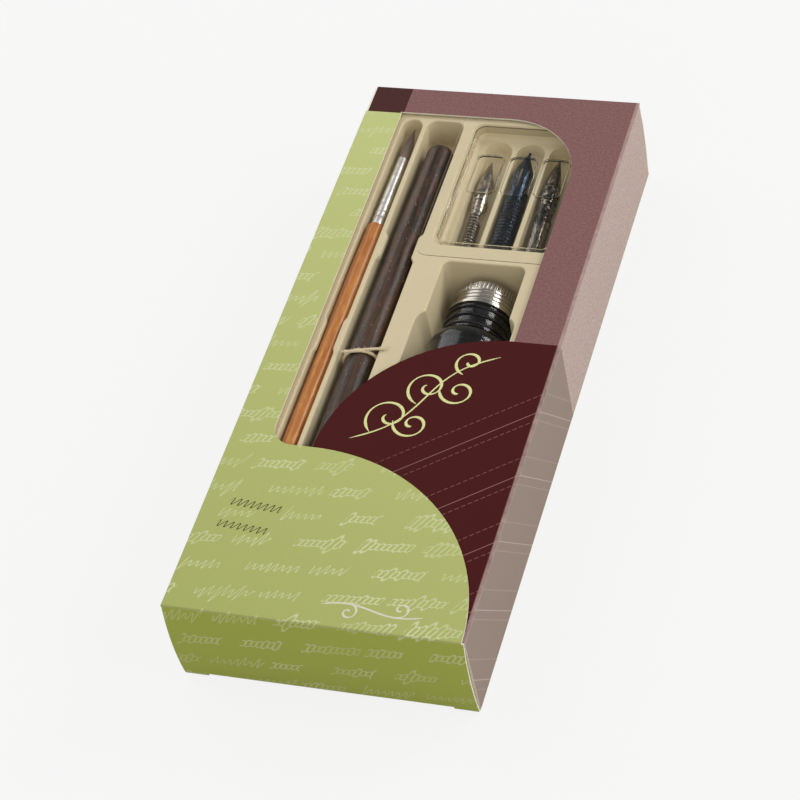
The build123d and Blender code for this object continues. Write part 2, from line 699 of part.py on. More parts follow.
with BuildPart() as pen_holder_barrel:
    with BuildSketch(holder_plane):
        with BuildLine():
            Polyline((0, holder_top), (holder_top_diameter / 2, holder_top),
                     (holder_diameter / 2, holder_top - holder_top_taper),
                     (holder_diameter / 2, wood_low + 2 * grip_length),
                     (holder_grip / 2, wood_low + grip_length),
                     (holder_grip / 2 - holder_end_taper, wood_low), (0, wood_low), close=True)
        make_face()
    revolve(axis=holder_axis)
    top_edge = pen_holder_barrel.edges().sort_by(Axis.Y)[-1]
    fillet(top_edge, min(holder_dome, 0.48 * holder_top_diameter))
    with BuildSketch(holder_plane):
        with Locations((socket_step / 2, wood_low + socket_depth / 2)):
            Rectangle(socket_step, socket_depth)
    revolve(axis=holder_axis, mode=Mode.SUBTRACT)
pen_holder_barrel.part.label = "pen_holder_barrel"
export_step(pen_holder_barrel.part, "parts/pen_holder_barrel.step")

# The socket is a thin steel cup with a collar on the wood's end and four sprung petals.
with BuildPart() as pen_holder_socket:
    petal_radius = socket_step - petal_inset
    petal_low = wood_low + petal_end
    with BuildSketch(holder_plane):
        with BuildLine():
            Polyline((socket_step + collar_step, wood_low), (socket_step + collar_step, holder_low),
                     (socket_step - socket_wall, holder_low),
                     (socket_step - socket_wall, wood_low + socket_depth - socket_wall),
                     (petal_radius, wood_low + socket_depth - socket_wall),
                     (petal_radius, petal_low), (petal_radius - socket_wall, petal_low),
                     (petal_radius - socket_wall, wood_low + socket_depth),
                     (socket_step, wood_low + socket_depth), (socket_step, wood_low),
                     close=True)
        make_face()
    revolve(axis=holder_axis)
    slit_low = petal_low - cut_over
    slit_high = wood_low + socket_depth - petal_root
    petals_across = 2 * petal_radius + socket_wall / 2
    with Locations((holder_channel_x, (slit_low + slit_high) / 2, holder_z)):
        Box(petal_slit, slit_high - slit_low, petals_across, mode=Mode.SUBTRACT)
        Box(petals_across, slit_high - slit_low, petal_slit, mode=Mode.SUBTRACT)
pen_holder_socket.part.label = "pen_holder_socket"
export_step(pen_holder_socket.part, "parts/pen_holder_socket.step")


# ---- twine tie: a turn round the barrel and two loose ends --------------------
def biarc(start, start_way, finish, finish_way):
    """Middle point of the two arcs that join two points with the given unit tangents."""
    gap = finish - start
    ways = start_way + finish_way
    a = ways.dot(ways) - 4.0
    b = -2.0 * gap.dot(ways)
    c = gap.dot(gap)
    reach = (-b - math.sqrt(b * b - 4.0 * a * c)) / (2.0 * a)
    return (start + start_way * reach + finish - finish_way * reach) / 2.0


tie_y = holder_top - tie_from_top
loop_radius = holder_diameter / 2 + tie_gap + twine / 2
turn_rise = tie_pitch / (2 * math.pi)
tie_frame = Plane((holder_channel_x, tie_y, holder_z)).rotated((0, 0, tie_slant))


def tie_point(angle):
    """Point on the winding; the angle is counted from the top of the barrel."""
    return tie_frame.from_local_coords(Vector(
        loop_radius * math.sin(angle), turn_rise * (angle - math.pi * tie_turns),
        loop_radius * math.cos(angle)))


def tie_way(angle):
    """Unit tangent of the winding."""
    ahead = Vector(loop_radius * math.cos(angle), turn_rise, -loop_radius * math.sin(angle))
    turned = tie_frame.from_local_coords(ahead) - tie_frame.from_local_coords(Vector(0, 0, 0))
    return turned.normalized()


quarter_turns = 4 * tie_turns
with BuildPart() as pen_holder_tie:
    with BuildLine() as tie_path:
        first = tie_point(0.0)
        Line(first - tie_way(0.0) * tie_start_reach, first)
        for quarter in range(quarter_turns):
            from_angle = quarter * math.pi / 2
            to_angle = (quarter + 1) * math.pi / 2
            start, finish = tie_point(from_angle), tie_point(to_angle)
            middle = biarc(start, tie_way(from_angle), finish, tie_way(to_angle))
            first_arc = TangentArc(start, middle, tangent=tie_way(from_angle))
            TangentArc(middle, finish, tangent=first_arc % 1)
        last = tie_point(2 * math.pi * tie_turns)
        last_way = tie_way(2 * math.pi * tie_turns)
        Line(last, last + last_way * tie_end_reach)
    with BuildSketch(Plane(tie_path.line @ 0, z_dir=tie_path.line % 0)):
        Circle(twine / 2)
    sweep()
pen_holder_tie.part.label = "pen_holder_tie"
export_step(pen_holder_tie.part, "parts/pen_holder_tie.step")
tie_samples = [tie_point(step * 2 * math.pi / tie_samples_per_turn)
               for step in range(tie_samples_per_turn * tie_turns + 1)]
half_turn = tie_samples_per_turn // 2
least_gap = min((tie_samples[i] - tie_samples[j]).length for i in range(len(tie_samples))
                for j in range(i + half_turn, len(tie_samples))) - twine
print(f"tie: least gap between turns {least_gap:.2f} mm, loop radius {loop_radius:.2f} mm")


# ==== brush ===================================================================
brush_axis = Axis((brush_channel_x, 0, brush_z), (0, 1, 0))
brush_plane = Plane((brush_channel_x, 0, brush_z))
hair_tip = brush_channel_top - brush_end_play
hair_base = hair_tip - hair_length
ferrule_low = hair_base - ferrule_length
handle_low = ferrule_low - handle_length

with BuildPart() as brush_ferrule:
    mouth_radius = ferrule_mouth / 2
    root_radius = ferrule_root / 2
    with BuildSketch(brush_plane):
        with BuildLine():
            Polyline((mouth_radius - ferrule_wall, hair_base), (mouth_radius, hair_base),
                     (root_radius, ferrule_low), (root_radius - ferrule_wall, ferrule_low),
                     close=True)
        make_face()
        # Two rolled crimps hold the handle's tenon.
        for crimp in (crimp_from_root, crimp_from_root + crimp_pitch):
            with Locations((root_radius - crimp_sink, ferrule_low + crimp)):
                Circle(crimp_radius)
    revolve(axis=brush_axis)
    with BuildSketch(brush_plane):
        with BuildLine():
            Polyline((0, hair_base + cut_over), (mouth_radius - ferrule_wall, hair_base + cut_over),
                     (mouth_radius - ferrule_wall, hair_base),
                     (root_radius - ferrule_wall, ferrule_low),
                     (root_radius - ferrule_wall, ferrule_low - cut_over),
                     (0, ferrule_low - cut_over), close=True)
        make_face()
    revolve(axis=brush_axis, mode=Mode.SUBTRACT)
brush_ferrule.part.label = "brush_ferrule"
export_step(brush_ferrule.part, "parts/brush_ferrule.step")

with BuildPart() as brush_handle:
    tenon_slope = (root_radius - mouth_radius) / ferrule_length
    tenon_root = root_radius - ferrule_wall
    tenon_tip = tenon_root - tenon_slope * tenon_length
    with BuildSketch(brush_plane):
        with BuildLine():
            tenon = Polyline((0, ferrule_low + tenon_length), (tenon_tip, ferrule_low + tenon_length),
                             (tenon_root, ferrule_low),
                             (handle_neck / 2 - handle_neck_step, ferrule_low),
                             (handle_neck / 2, ferrule_low - handle_neck_bevel))
            swell = Spline(tenon @ 1, (brush_belly / 2, ferrule_low - belly_from_neck),
                           (handle_tail / 2, handle_low + handle_tail / 2),
                           tangents=((0.03, -1), (-0.02, -1)))
            tail = RadiusArc(swell @ 1, (0, handle_low), handle_tail / 2)
            Line(tail @ 1, tenon @ 0)
        make_face()
    revolve(axis=brush_axis)
brush_handle.part.label = "brush_handle"
export_step(brush_handle.part, "parts/brush_handle.step")


def strand_rings(index):
    """Three triangles, from root to end, that one tapered bristle runs through."""
    share = (index + 0.5) / strand_count
    angle = index * math.pi * (3.0 - math.sqrt(5.0))
    bundle = (hair_radius - strand_margin) * math.sqrt(share)
    thickness = strand_girth * hair_radius * math.sqrt(math.pi / strand_count)
    reach = hair_length * (1.0 - shortest_strand * share)
    closing = hair_swell - hair_closing * (reach - hair_belly_at) / (hair_length - hair_belly_at)
    rings = []
    for distance, spread in ((0.0, 1.0), (hair_belly_at, hair_swell), (reach, closing)):
        middle = Vector(brush_channel_x + bundle * spread * math.cos(angle),
                        hair_base - hair_root + hair_slice + distance,
                        brush_z + bundle * spread * math.sin(angle))
        rings.append([middle + Vector(math.cos(corner), 0, math.sin(corner)) * thickness * spread
                      for corner in (0.0, 2 * math.pi / 3, 4 * math.pi / 3)])
    return rings


# The bristles and the slice of root that holds them are sewn into one closed solid: the
# slice's outer face is pierced by every bristle's first triangle.
hair_radius = mouth_radius - ferrule_wall
root_slice = Solid.make_cylinder(
    hair_radius, hair_slice,
    Plane((brush_channel_x, hair_base - hair_root, brush_z), x_dir=(1, 0, 0), z_dir=(0, 1, 0)))
bundle_rings = [strand_rings(index) for index in range(strand_count)]
slice_faces = root_slice.faces().sort_by(Axis.Y)
hair_faces = slice_faces[:-1]
hair_faces.append(Face(slice_faces[-1].outer_wire(),
                       [Wire.make_polygon(rings[0]) for rings in bundle_rings]))
for rings in bundle_rings:
    for lower, upper in zip(rings, rings[1:]):
        for corner in range(3):
            beside = (corner + 1) % 3
            hair_faces.append(Face(Wire.make_polygon(
                [lower[corner], lower[beside], upper[beside], upper[corner]])))
    hair_faces.append(Face(Wire.make_polygon(rings[-1])))

with BuildPart() as brush_hair:
    add(Solid(Shell(hair_faces)))
brush_hair.part.label = "brush_hair"
export_step(brush_hair.part, "parts/brush_hair.step")


# ==== ink bottle ==============================================================
bottle_axis = Axis((right_column_x, 0, bottle_z), (0, 1, 0))
bottle_plane = Plane((right_column_x, 0, bottle_z))
cap_top = bottle_pocket_top - cap_top_play
mouth_y = cap_top - cap_wall - liner_thickness - liner_gap
base_y = mouth_y - bottle_glass_length
neck_top = mouth_y - finish_length
neck_low = neck_top - neck_length
body_top = neck_low - shoulder_length
body_radius = bottle_diameter / 2
neck_radius = neck_diameter / 2
finish_radius = finish_diameter / 2
cavity_radius = body_radius - glass_wall
cavity_low = base_y + base_thickness
ring_pitch = neck_length / neck_rings


def cavity_profile(top, gap):
    """Outline of the space inside the bottle, up to a height and drawn in by a gap."""
    Polyline((0, top), (bottle_bore / 2 - gap, top), (bottle_bore / 2 - gap, neck_low - gap),
             (cavity_radius - gap, body_top - gap),
             (cavity_radius - gap, cavity_low + gap), (0, cavity_low + gap), close=True)


with BuildPart() as bottle_glass:
    with BuildSketch(bottle_plane):
        with BuildLine():
            body = Polyline((0, base_y), (body_radius - base_radius, base_y))
            heel = RadiusArc(body @ 1, (body_radius, base_y + base_radius), -base_radius)
            wall = Line(heel @ 1, (body_radius, body_top))
            shoulder = ThreePointArc(
                wall @ 1,
                (neck_radius + shoulder_out * (body_radius - neck_radius),
                 body_top + shoulder_up * shoulder_length),
                (neck_radius - neck_ring_rise, neck_low))
            Polyline(shoulder @ 1, (neck_radius - neck_ring_rise, neck_top),
                     (finish_radius, neck_top),
                     (finish_radius, mouth_y), (0, mouth_y), body @ 0)
        make_face()
        for ring in range(neck_rings):
            with Locations((neck_radius - neck_ring_depth / 2,
                            neck_low + (ring + 0.5) * ring_pitch)):
                SlotOverall(neck_ring_depth, min(neck_ring_width, 0.8 * ring_pitch))
    revolve(axis=bottle_axis)
    with BuildSketch(bottle_plane):
        with BuildLine():
            cavity_profile(mouth_y + cut_over, 0)
        make_face()
    revolve(axis=bottle_axis, mode=Mode.SUBTRACT)
bottle_glass.part.label = "bottle_glass"
export_step(bottle_glass.part, "parts/bottle_glass.step")

# The bottle lies on its side, so the ink's surface is level with the box.
with BuildPart() as bottle_ink:
    with BuildSketch(bottle_plane):
        with BuildLine():
            cavity_profile(neck_low, ink_gap)
        make_face()
    revolve(axis=bottle_axis)
    ink_level = bottle_z + cavity_radius - ink_air
    split(bisect_by=Plane.XY.offset(ink_level), keep=Keep.BOTTOM)
bottle_ink.part.label = "bottle_ink"
export_step(bottle_ink.part, "parts/bottle_ink.step")

with BuildPart() as bottle_cap:
    cap_radius = cap_diameter / 2
    lip_radius = cap_lip_diameter / 2
    cap_low = cap_top - cap_length
    cap_inner = cap_radius - cap_wall - flute_depth
    with BuildSketch(bottle_plane):
        with BuildLine():
            Polyline((0, cap_top), (cap_radius, cap_top),
                     (cap_radius, cap_low + cap_lip_length + cap_lip_slope),
                     (lip_radius, cap_low + cap_lip_length), (lip_radius, cap_low),
                     (cap_inner, cap_low), (cap_inner, cap_top - cap_wall),
                     (0, cap_top - cap_wall), close=True)
        make_face()
    revolve(axis=bottle_axis)
    fillet(bottle_cap.edges().sort_by(Axis.Y)[-1], cap_rounding)
    # Rolled grooves run round the skirt, under the knurled upper edge.
    with BuildSketch(bottle_plane):
        for groove in range(cap_grooves):
            with Locations((cap_radius, cap_low + cap_groove_from_low + groove * cap_groove_pitch)):
                Circle(flute_depth)
    revolve(axis=bottle_axis, mode=Mode.SUBTRACT)
    flute_plane = Plane((right_column_x, cap_top - flute_length, bottle_z),
                        x_dir=(1, 0, 0), z_dir=(0, 1, 0))
    with BuildSketch(flute_plane):
        with PolarLocations(cap_radius + flute_radius - flute_depth, cap_flutes):
            Circle(flute_radius)
    extrude(amount=flute_length + cut_over, mode=Mode.SUBTRACT)
bottle_cap.part.label = "bottle_cap"
export_step(bottle_cap.part, "parts/bottle_cap.step")

with BuildPart() as cap_liner:
    liner_plane = Plane((right_column_x, mouth_y + liner_gap, bottle_z),
                        x_dir=(1, 0, 0), z_dir=(0, 1, 0))
    with BuildSketch(liner_plane):
        Circle(cap_inner - liner_side_gap)
    extrude(amount=liner_thickness)
cap_liner.part.label = "cap_liner"
export_step(cap_liner.part, "parts/cap_liner.step")
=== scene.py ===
"""Calligraphy set box: dresses the carton, tray, tools and ink bottle, and lights them."""

import logging
import math
import random
from dataclasses import dataclass
from enum import Enum
from functools import reduce

import bmesh
import bpy
from mathutils import Matrix, Vector

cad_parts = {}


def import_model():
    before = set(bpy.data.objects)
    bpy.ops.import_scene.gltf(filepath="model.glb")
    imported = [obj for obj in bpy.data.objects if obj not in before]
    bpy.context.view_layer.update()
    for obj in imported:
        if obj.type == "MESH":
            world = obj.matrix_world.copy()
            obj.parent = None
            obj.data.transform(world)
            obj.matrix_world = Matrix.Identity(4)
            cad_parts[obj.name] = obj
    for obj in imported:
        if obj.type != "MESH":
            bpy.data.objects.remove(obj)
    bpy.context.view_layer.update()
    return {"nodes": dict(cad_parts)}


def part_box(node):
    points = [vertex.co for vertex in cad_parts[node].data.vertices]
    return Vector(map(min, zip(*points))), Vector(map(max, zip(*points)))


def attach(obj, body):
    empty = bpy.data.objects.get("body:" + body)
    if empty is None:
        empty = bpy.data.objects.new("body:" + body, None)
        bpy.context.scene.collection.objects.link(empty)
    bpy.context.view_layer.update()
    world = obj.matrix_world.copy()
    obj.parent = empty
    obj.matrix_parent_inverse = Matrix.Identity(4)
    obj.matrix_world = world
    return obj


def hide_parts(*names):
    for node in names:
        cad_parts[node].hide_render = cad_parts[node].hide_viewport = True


Socket = bpy.types.NodeSocket
Colour = tuple[float, float, float]
Direction = tuple[float, float, float]
Nodes = dict[str, bpy.types.Object]
Path = list[tuple[Vector, float]]

MM = 0.001
TURN = 2 * math.pi
RIGHT, LEFT = (1, 0, 0), (-1, 0, 0)
FAR, NEAR = (0, 1, 0), (0, -1, 0)
UP, DOWN = (0, 0, 1), (0, 0, -1)
LOG = logging.getLogger("calligraphy_set_box")


def srgb(red: int, green: int, blue: int) -> Colour:
    """Returns the linear colour of an 8-bit display colour.

    Args:
        red: Red, from 0 to 255.
        green: Green, from 0 to 255.
        blue: Blue, from 0 to 255.

    Returns:
        The linear colour.
    """
    def channel(value: int) -> float:
        """Returns one linear channel."""
        share = value / 255.0
        return share / 12.92 if share <= 0.04045 else ((share + 0.055) / 1.055) ** 2.4
    return channel(red), channel(green), channel(blue)


def shaded(colour: Colour, share: float) -> Colour:
    """Returns a colour made darker, or lighter above 1, by a share."""
    return tuple(channel * share for channel in colour)


# ---- shader writing ----
class Value:
    """A number, place or colour of one material; arithmetic on it adds Math nodes."""

    def __init__(self, recipe: "Recipe", socket: Socket) -> None:
        """Holds an output of one of the recipe's nodes."""
        self.recipe = recipe
        self.socket = socket

    def __add__(self, other: "Operand") -> "Value":
        """Returns the sum."""
        return self.recipe.math("ADD", self, other)

    def __radd__(self, other: float) -> "Value":
        """Returns the sum with a plain number."""
        return self.recipe.math("ADD", other, self)

    def __sub__(self, other: "Operand") -> "Value":
        """Returns the difference."""
        return self.recipe.math("SUBTRACT", self, other)

    def __rsub__(self, other: float) -> "Value":
        """Returns the difference from a plain number."""
        return self.recipe.math("SUBTRACT", other, self)

    def __mul__(self, other: "Operand") -> "Value":
        """Returns the product."""
        return self.recipe.math("MULTIPLY", self, other)

    def __truediv__(self, other: "Operand") -> "Value":
        """Returns the quotient."""
        return self.recipe.math("DIVIDE", self, other)


Operand = Value | float | tuple[float, float, float]


class Recipe:
    """Writes one material's node tree, a step at a time."""

    def __init__(self, name: str) -> None:
        """Starts a material with one Principled shader.

        Args:
            name: The material's name.
        """
        self.material = bpy.data.materials.new(name)
        self.material.use_nodes = True
        self.nodes = self.material.node_tree.nodes
        self.links = self.material.node_tree.links
        self.shader = self.nodes["Principled BSDF"]
        self.output = self.nodes["Material Output"]

    def put(self, target: Socket, value: Operand) -> None:
        """Links a value to a node's input, or sets a plain one.

        Args:
            target: The input.
            value: A value of this material, a number, or three numbers.
        """
        if isinstance(value, Value):
            self.links.new(value.socket, target)
        elif target.type == "RGBA":
            target.default_value = (*value, 1.0)
        else:
            target.default_value = value

    def add(self, kind: str, inputs: dict[str | int, Operand], output: str | int = 0,
            **settings: str) -> Value:
        """Adds a node.

        Args:
            kind: The node's type.
            inputs: What its inputs take, by name or place.
            output: The output that is wanted, by name or place.
            **settings: The node's own settings.

        Returns:
            The output.
        """
        node = self.nodes.new(kind)
        for name, setting in settings.items():
            setattr(node, name, setting)
        for name, value in inputs.items():
            self.put(node.inputs[name], value)
        return Value(self, node.outputs[output])

    def set(self, **inputs: Operand) -> None:
        """Sets the shader's own inputs; an underscore stands for a space."""
        for name, value in inputs.items():
            self.put(self.shader.inputs[name.replace("_", " ")], value)

    def point(self) -> Value:
        """Returns the place on the piece, in metres, in the part's own frame."""
        return self.add("ShaderNodeTexCoord", {}, "Object")

    def normal(self) -> Value:
        """Returns the surface's direction."""
        return self.add("ShaderNodeNewGeometry", {}, "Normal")

    def math(self, operation: str, first: Operand, second: Operand = 0.0) -> Value:
        """Returns the result of one Math node."""
        return self.add("ShaderNodeMath", {0: first, 1: second}, operation=operation)

    def gathered(self, operation: str, values: list[Value]) -> Value:
        """Returns the result of one operation taken through a list of values."""
        return reduce(lambda first, second: self.math(operation, first, second), values)

    def dot(self, vector: Value, direction: Direction) -> Value:
        """Returns the dot product of a vector and a fixed direction."""
        return self.add("ShaderNodeVectorMath", {0: vector, 1: direction}, "Value",
                        operation="DOT_PRODUCT")

    def joined(self, x: Operand, y: Operand, z: Operand = 0.0) -> Value:
        """Returns a vector made of three values."""
        return self.add("ShaderNodeCombineXYZ", {0: x, 1: y, 2: z})

    def noise(self, vector: Value, scale: float | Direction, detail: float,
              distortion: float = 0.0) -> Value:
        """Returns cloudy noise from 0 to 1.

        Args:
            vector: Where the noise is read.
            scale: Cells for each unit of the vector, in all or for each axis.
            detail: Octaves.
            distortion: How much the noise warps itself.

        Returns:
            The noise.
        """
        if isinstance(scale, tuple):
            vector, scale = self.add("ShaderNodeMapping", {"Vector": vector, "Scale": scale}), 1.0
        return self.add("ShaderNodeTexNoise", {
            "Vector": vector, "Scale": scale, "Detail": detail, "Distortion": distortion}, "Fac")

    def chance(self, x: Value, y: Value, draw: float) -> Value:
        """Returns one random number from 0 to 1 for each pair of values and draw."""
        return self.add("ShaderNodeTexWhiteNoise", {"Vector": self.joined(x, y, draw)}, "Value")

    def span(self, value: Value, low: float, high: float, to_low: float = 0.0,
             to_high: float = 1.0) -> Value:
        """Returns a value mapped from one range to another and held inside it.

        Args:
            value: The value.
            low: Where its range starts.
            high: Where its range ends.
            to_low: What the start becomes.
            to_high: What the end becomes.

        Returns:
            The mapped value.
        """
        return self.add("ShaderNodeMapRange", {
            "Value": value, "From Min": low, "From Max": high, "To Min": to_low,
            "To Max": to_high}, "Result")

    def blend(self, share: Value, first: Operand, second: Operand) -> Value:
        """Returns the colour between two colours."""
        return self.add("ShaderNodeMix", {0: share, 6: first, 7: second}, 2, data_type="RGBA")

    def bump(self, height: Value, depth: float, strength: float) -> None:
        """Raises the surface by a height map, depth metres at 1."""
        self.set(Normal=self.add("ShaderNodeBump", {
            "Height": height, "Distance": depth, "Strength": strength}, "Normal"))

    def rays(self, *kinds: str) -> Value:
        """Returns 1 for the named kinds of ray and 0 for the others."""
        path = self.nodes.new("ShaderNodeLightPath")
        return self.gathered("MAXIMUM", [Value(self, path.outputs[kind]) for kind in kinds])

    def cover(self, share: Value, shader: Value) -> None:
        """Shows another shader in the place of the recipe's own, by a share."""
        own = Value(self, self.shader.outputs[0])
        self.put(self.output.inputs["Surface"],
                 self.add("ShaderNodeMixShader", {0: share, 1: own, 2: shader}))

    def let_lamps_through(self) -> None:
        """Lets the room's light pass the surface once, as thin clear sheet does."""
        clear = self.add("ShaderNodeBsdfTransparent", {})
        self.cover(self.rays("Is Shadow Ray", "Is Diffuse Ray"), clear)


# ---- finishes ----
GREEN = srgb(172, 179, 104)
GREEN_FAR = srgb(195, 201, 131)
GREEN_END = srgb(168, 176, 80)
DRILL_GREEN = srgb(209, 214, 165)
MAUVE = srgb(131, 94, 92)
MAROON = srgb(71, 12, 12)
CORNER_MAROON = srgb(73, 39, 37)
RULE_PINK = srgb(160, 116, 112)
# Paler copies of the mauve, maroon and rule print for the right side: painted sheen, the glancing
# reflection that pales that face.
SHEEN_PALED_MAUVE = srgb(188, 168, 160)
SHEEN_PALED_MAROON = srgb(152, 134, 124)
SHEEN_PALED_RULE = srgb(196, 182, 172)
STROKE_GREEN = srgb(228, 231, 158)
STROKE_BROWN = srgb(62, 44, 26)
STROKE_CREAM = srgb(226, 222, 196)
RAW_BOARD = srgb(245, 239, 217)
# Paler print along the right fold: painted highlight where the rounded fold catches the light, mixed
# with scuffed wear.
WORN_HIGHLIT_PRINT = srgb(196, 172, 164)


@dataclass(frozen=True)
class Finish:
    """What one or more of the set's pieces are made of."""

    name: str

    def write(self, recipe: Recipe) -> None:
        """Writes the finish; each kind has its own."""
        raise NotImplementedError

    def material(self) -> bpy.types.Material:
        """Returns the finished material."""
        recipe = Recipe(self.name)
        self.write(recipe)
        return recipe.material


@dataclass(frozen=True)
class PrintedFace:
    """One direction of a panel that carries print, beyond a line across the panel."""

    direction: Direction
    beyond: float = -1.0


@dataclass(frozen=True)
class WornHighlitFold:
    """A fold along which the print is worn by scuffs and painted paler as a highlight of the rounded
    fold: which way it lies, and how far out.
    """

    direction: Direction
    place: float
    width: float = 0.001
    fade: float = 0.65
    wear_and_highlight: float = 0.66
    tone: Colour = WORN_HIGHLIT_PRINT


@dataclass(frozen=True)
class Board(Finish):
    """Coated carton board: printed outside, raw on its cut edges and inside.

    across and along turn a place on the panel into the unfolded print's two
    coordinates, each as a direction and an offset in metres.
    """

    faces: tuple[PrintedFace, ...] = ()
    folds: tuple[WornHighlitFold, ...] = ()
    across: tuple[Direction, float] = (RIGHT, 0.0)
    along: tuple[Direction, float] = (FAR, 0.0)
    fibre_scale: float = 1400.0
    fleck_scale: float = 5200.0
    scuff_scale: float = 420.0
    depth: float = 0.00003

    def unfolded(self, recipe: Recipe, axis: tuple[Direction, float]) -> Value:
        """Returns one of the unfolded print's coordinates, in millimetres."""
        direction, offset = axis
        return (recipe.dot(recipe.point(), direction) + offset) * (1 / MM)

    def printed(self, recipe: Recipe) -> Value:
        """Finds the panel's printed faces.

        Args:
            recipe: The material that is written.

        Returns:
            1 where the board is printed and 0 where it is raw.
        """
        normal, point = recipe.normal(), recipe.point()
        shares = []
        for face in self.faces:
            facing = recipe.span(recipe.dot(normal, face.direction), 0.12, 0.3)
            reach = recipe.math("GREATER_THAN", recipe.dot(point, face.direction), face.beyond)
            shares.append(facing * reach)
        return recipe.gathered("MAXIMUM", shares)

    def artwork(self, recipe: Recipe, u: Value, v: Value) -> Value:
        """Returns the print's colour; each printed board draws its own."""
        raise NotImplementedError

    def scuffed_and_highlit(self, recipe: Recipe, ink: Value) -> Value:
        """Wears the print along its folds and paints them paler as a highlight of their rounded
        edge.

        Args:
            recipe: The material that is written.
            ink: The print's colour.

        Returns:
            The print with its folds worn and painted pale as a highlight.
        """
        point = recipe.point()
        scuffs = recipe.span(recipe.noise(point, self.scuff_scale, 3.0), 0.3, 0.7, 0.6, 1.0)
        for fold in self.folds:
            near = recipe.span(recipe.dot(point, fold.direction), fold.place - fold.width,
                               fold.place - fold.fade * fold.width, 0.0, fold.wear_and_highlight)
            # Scuffed wear plus a painted highlight along the rounded fold.
            ink = recipe.blend(near * scuffs, ink, fold.tone)
        return ink

    def write(self, recipe: Recipe) -> None:
        """Writes print on the printed faces and raw board elsewhere.

        Args:
            recipe: The material that is written.
        """
        point = recipe.point()
        fibres = recipe.noise(point, self.fibre_scale, 5.0)
        flecks = recipe.noise(point, self.fleck_scale, 2.0)
        colour = recipe.blend(fibres, shaded(RAW_BOARD, 0.86), RAW_BOARD)
        roughness = 0.86
        if self.faces:
            mask = self.printed(recipe)
            ink = self.artwork(recipe, self.unfolded(recipe, self.across),
                               self.unfolded(recipe, self.along))
            grain = recipe.span(flecks, 0.25, 0.75, 0.94, 1.06)
            grained = recipe.add("ShaderNodeVectorMath", {0: ink, "Scale": grain},
                                 operation="SCALE")
            colour = recipe.blend(mask, colour, self.scuffed_and_highlit(recipe, grained))
            roughness = 0.88 - mask * 0.2
        recipe.set(Base_Color=colour, Roughness=roughness, Specular_IOR_Level=0.14)
        recipe.bump(fibres * 0.7 + flecks * 0.3, self.depth, 0.35)


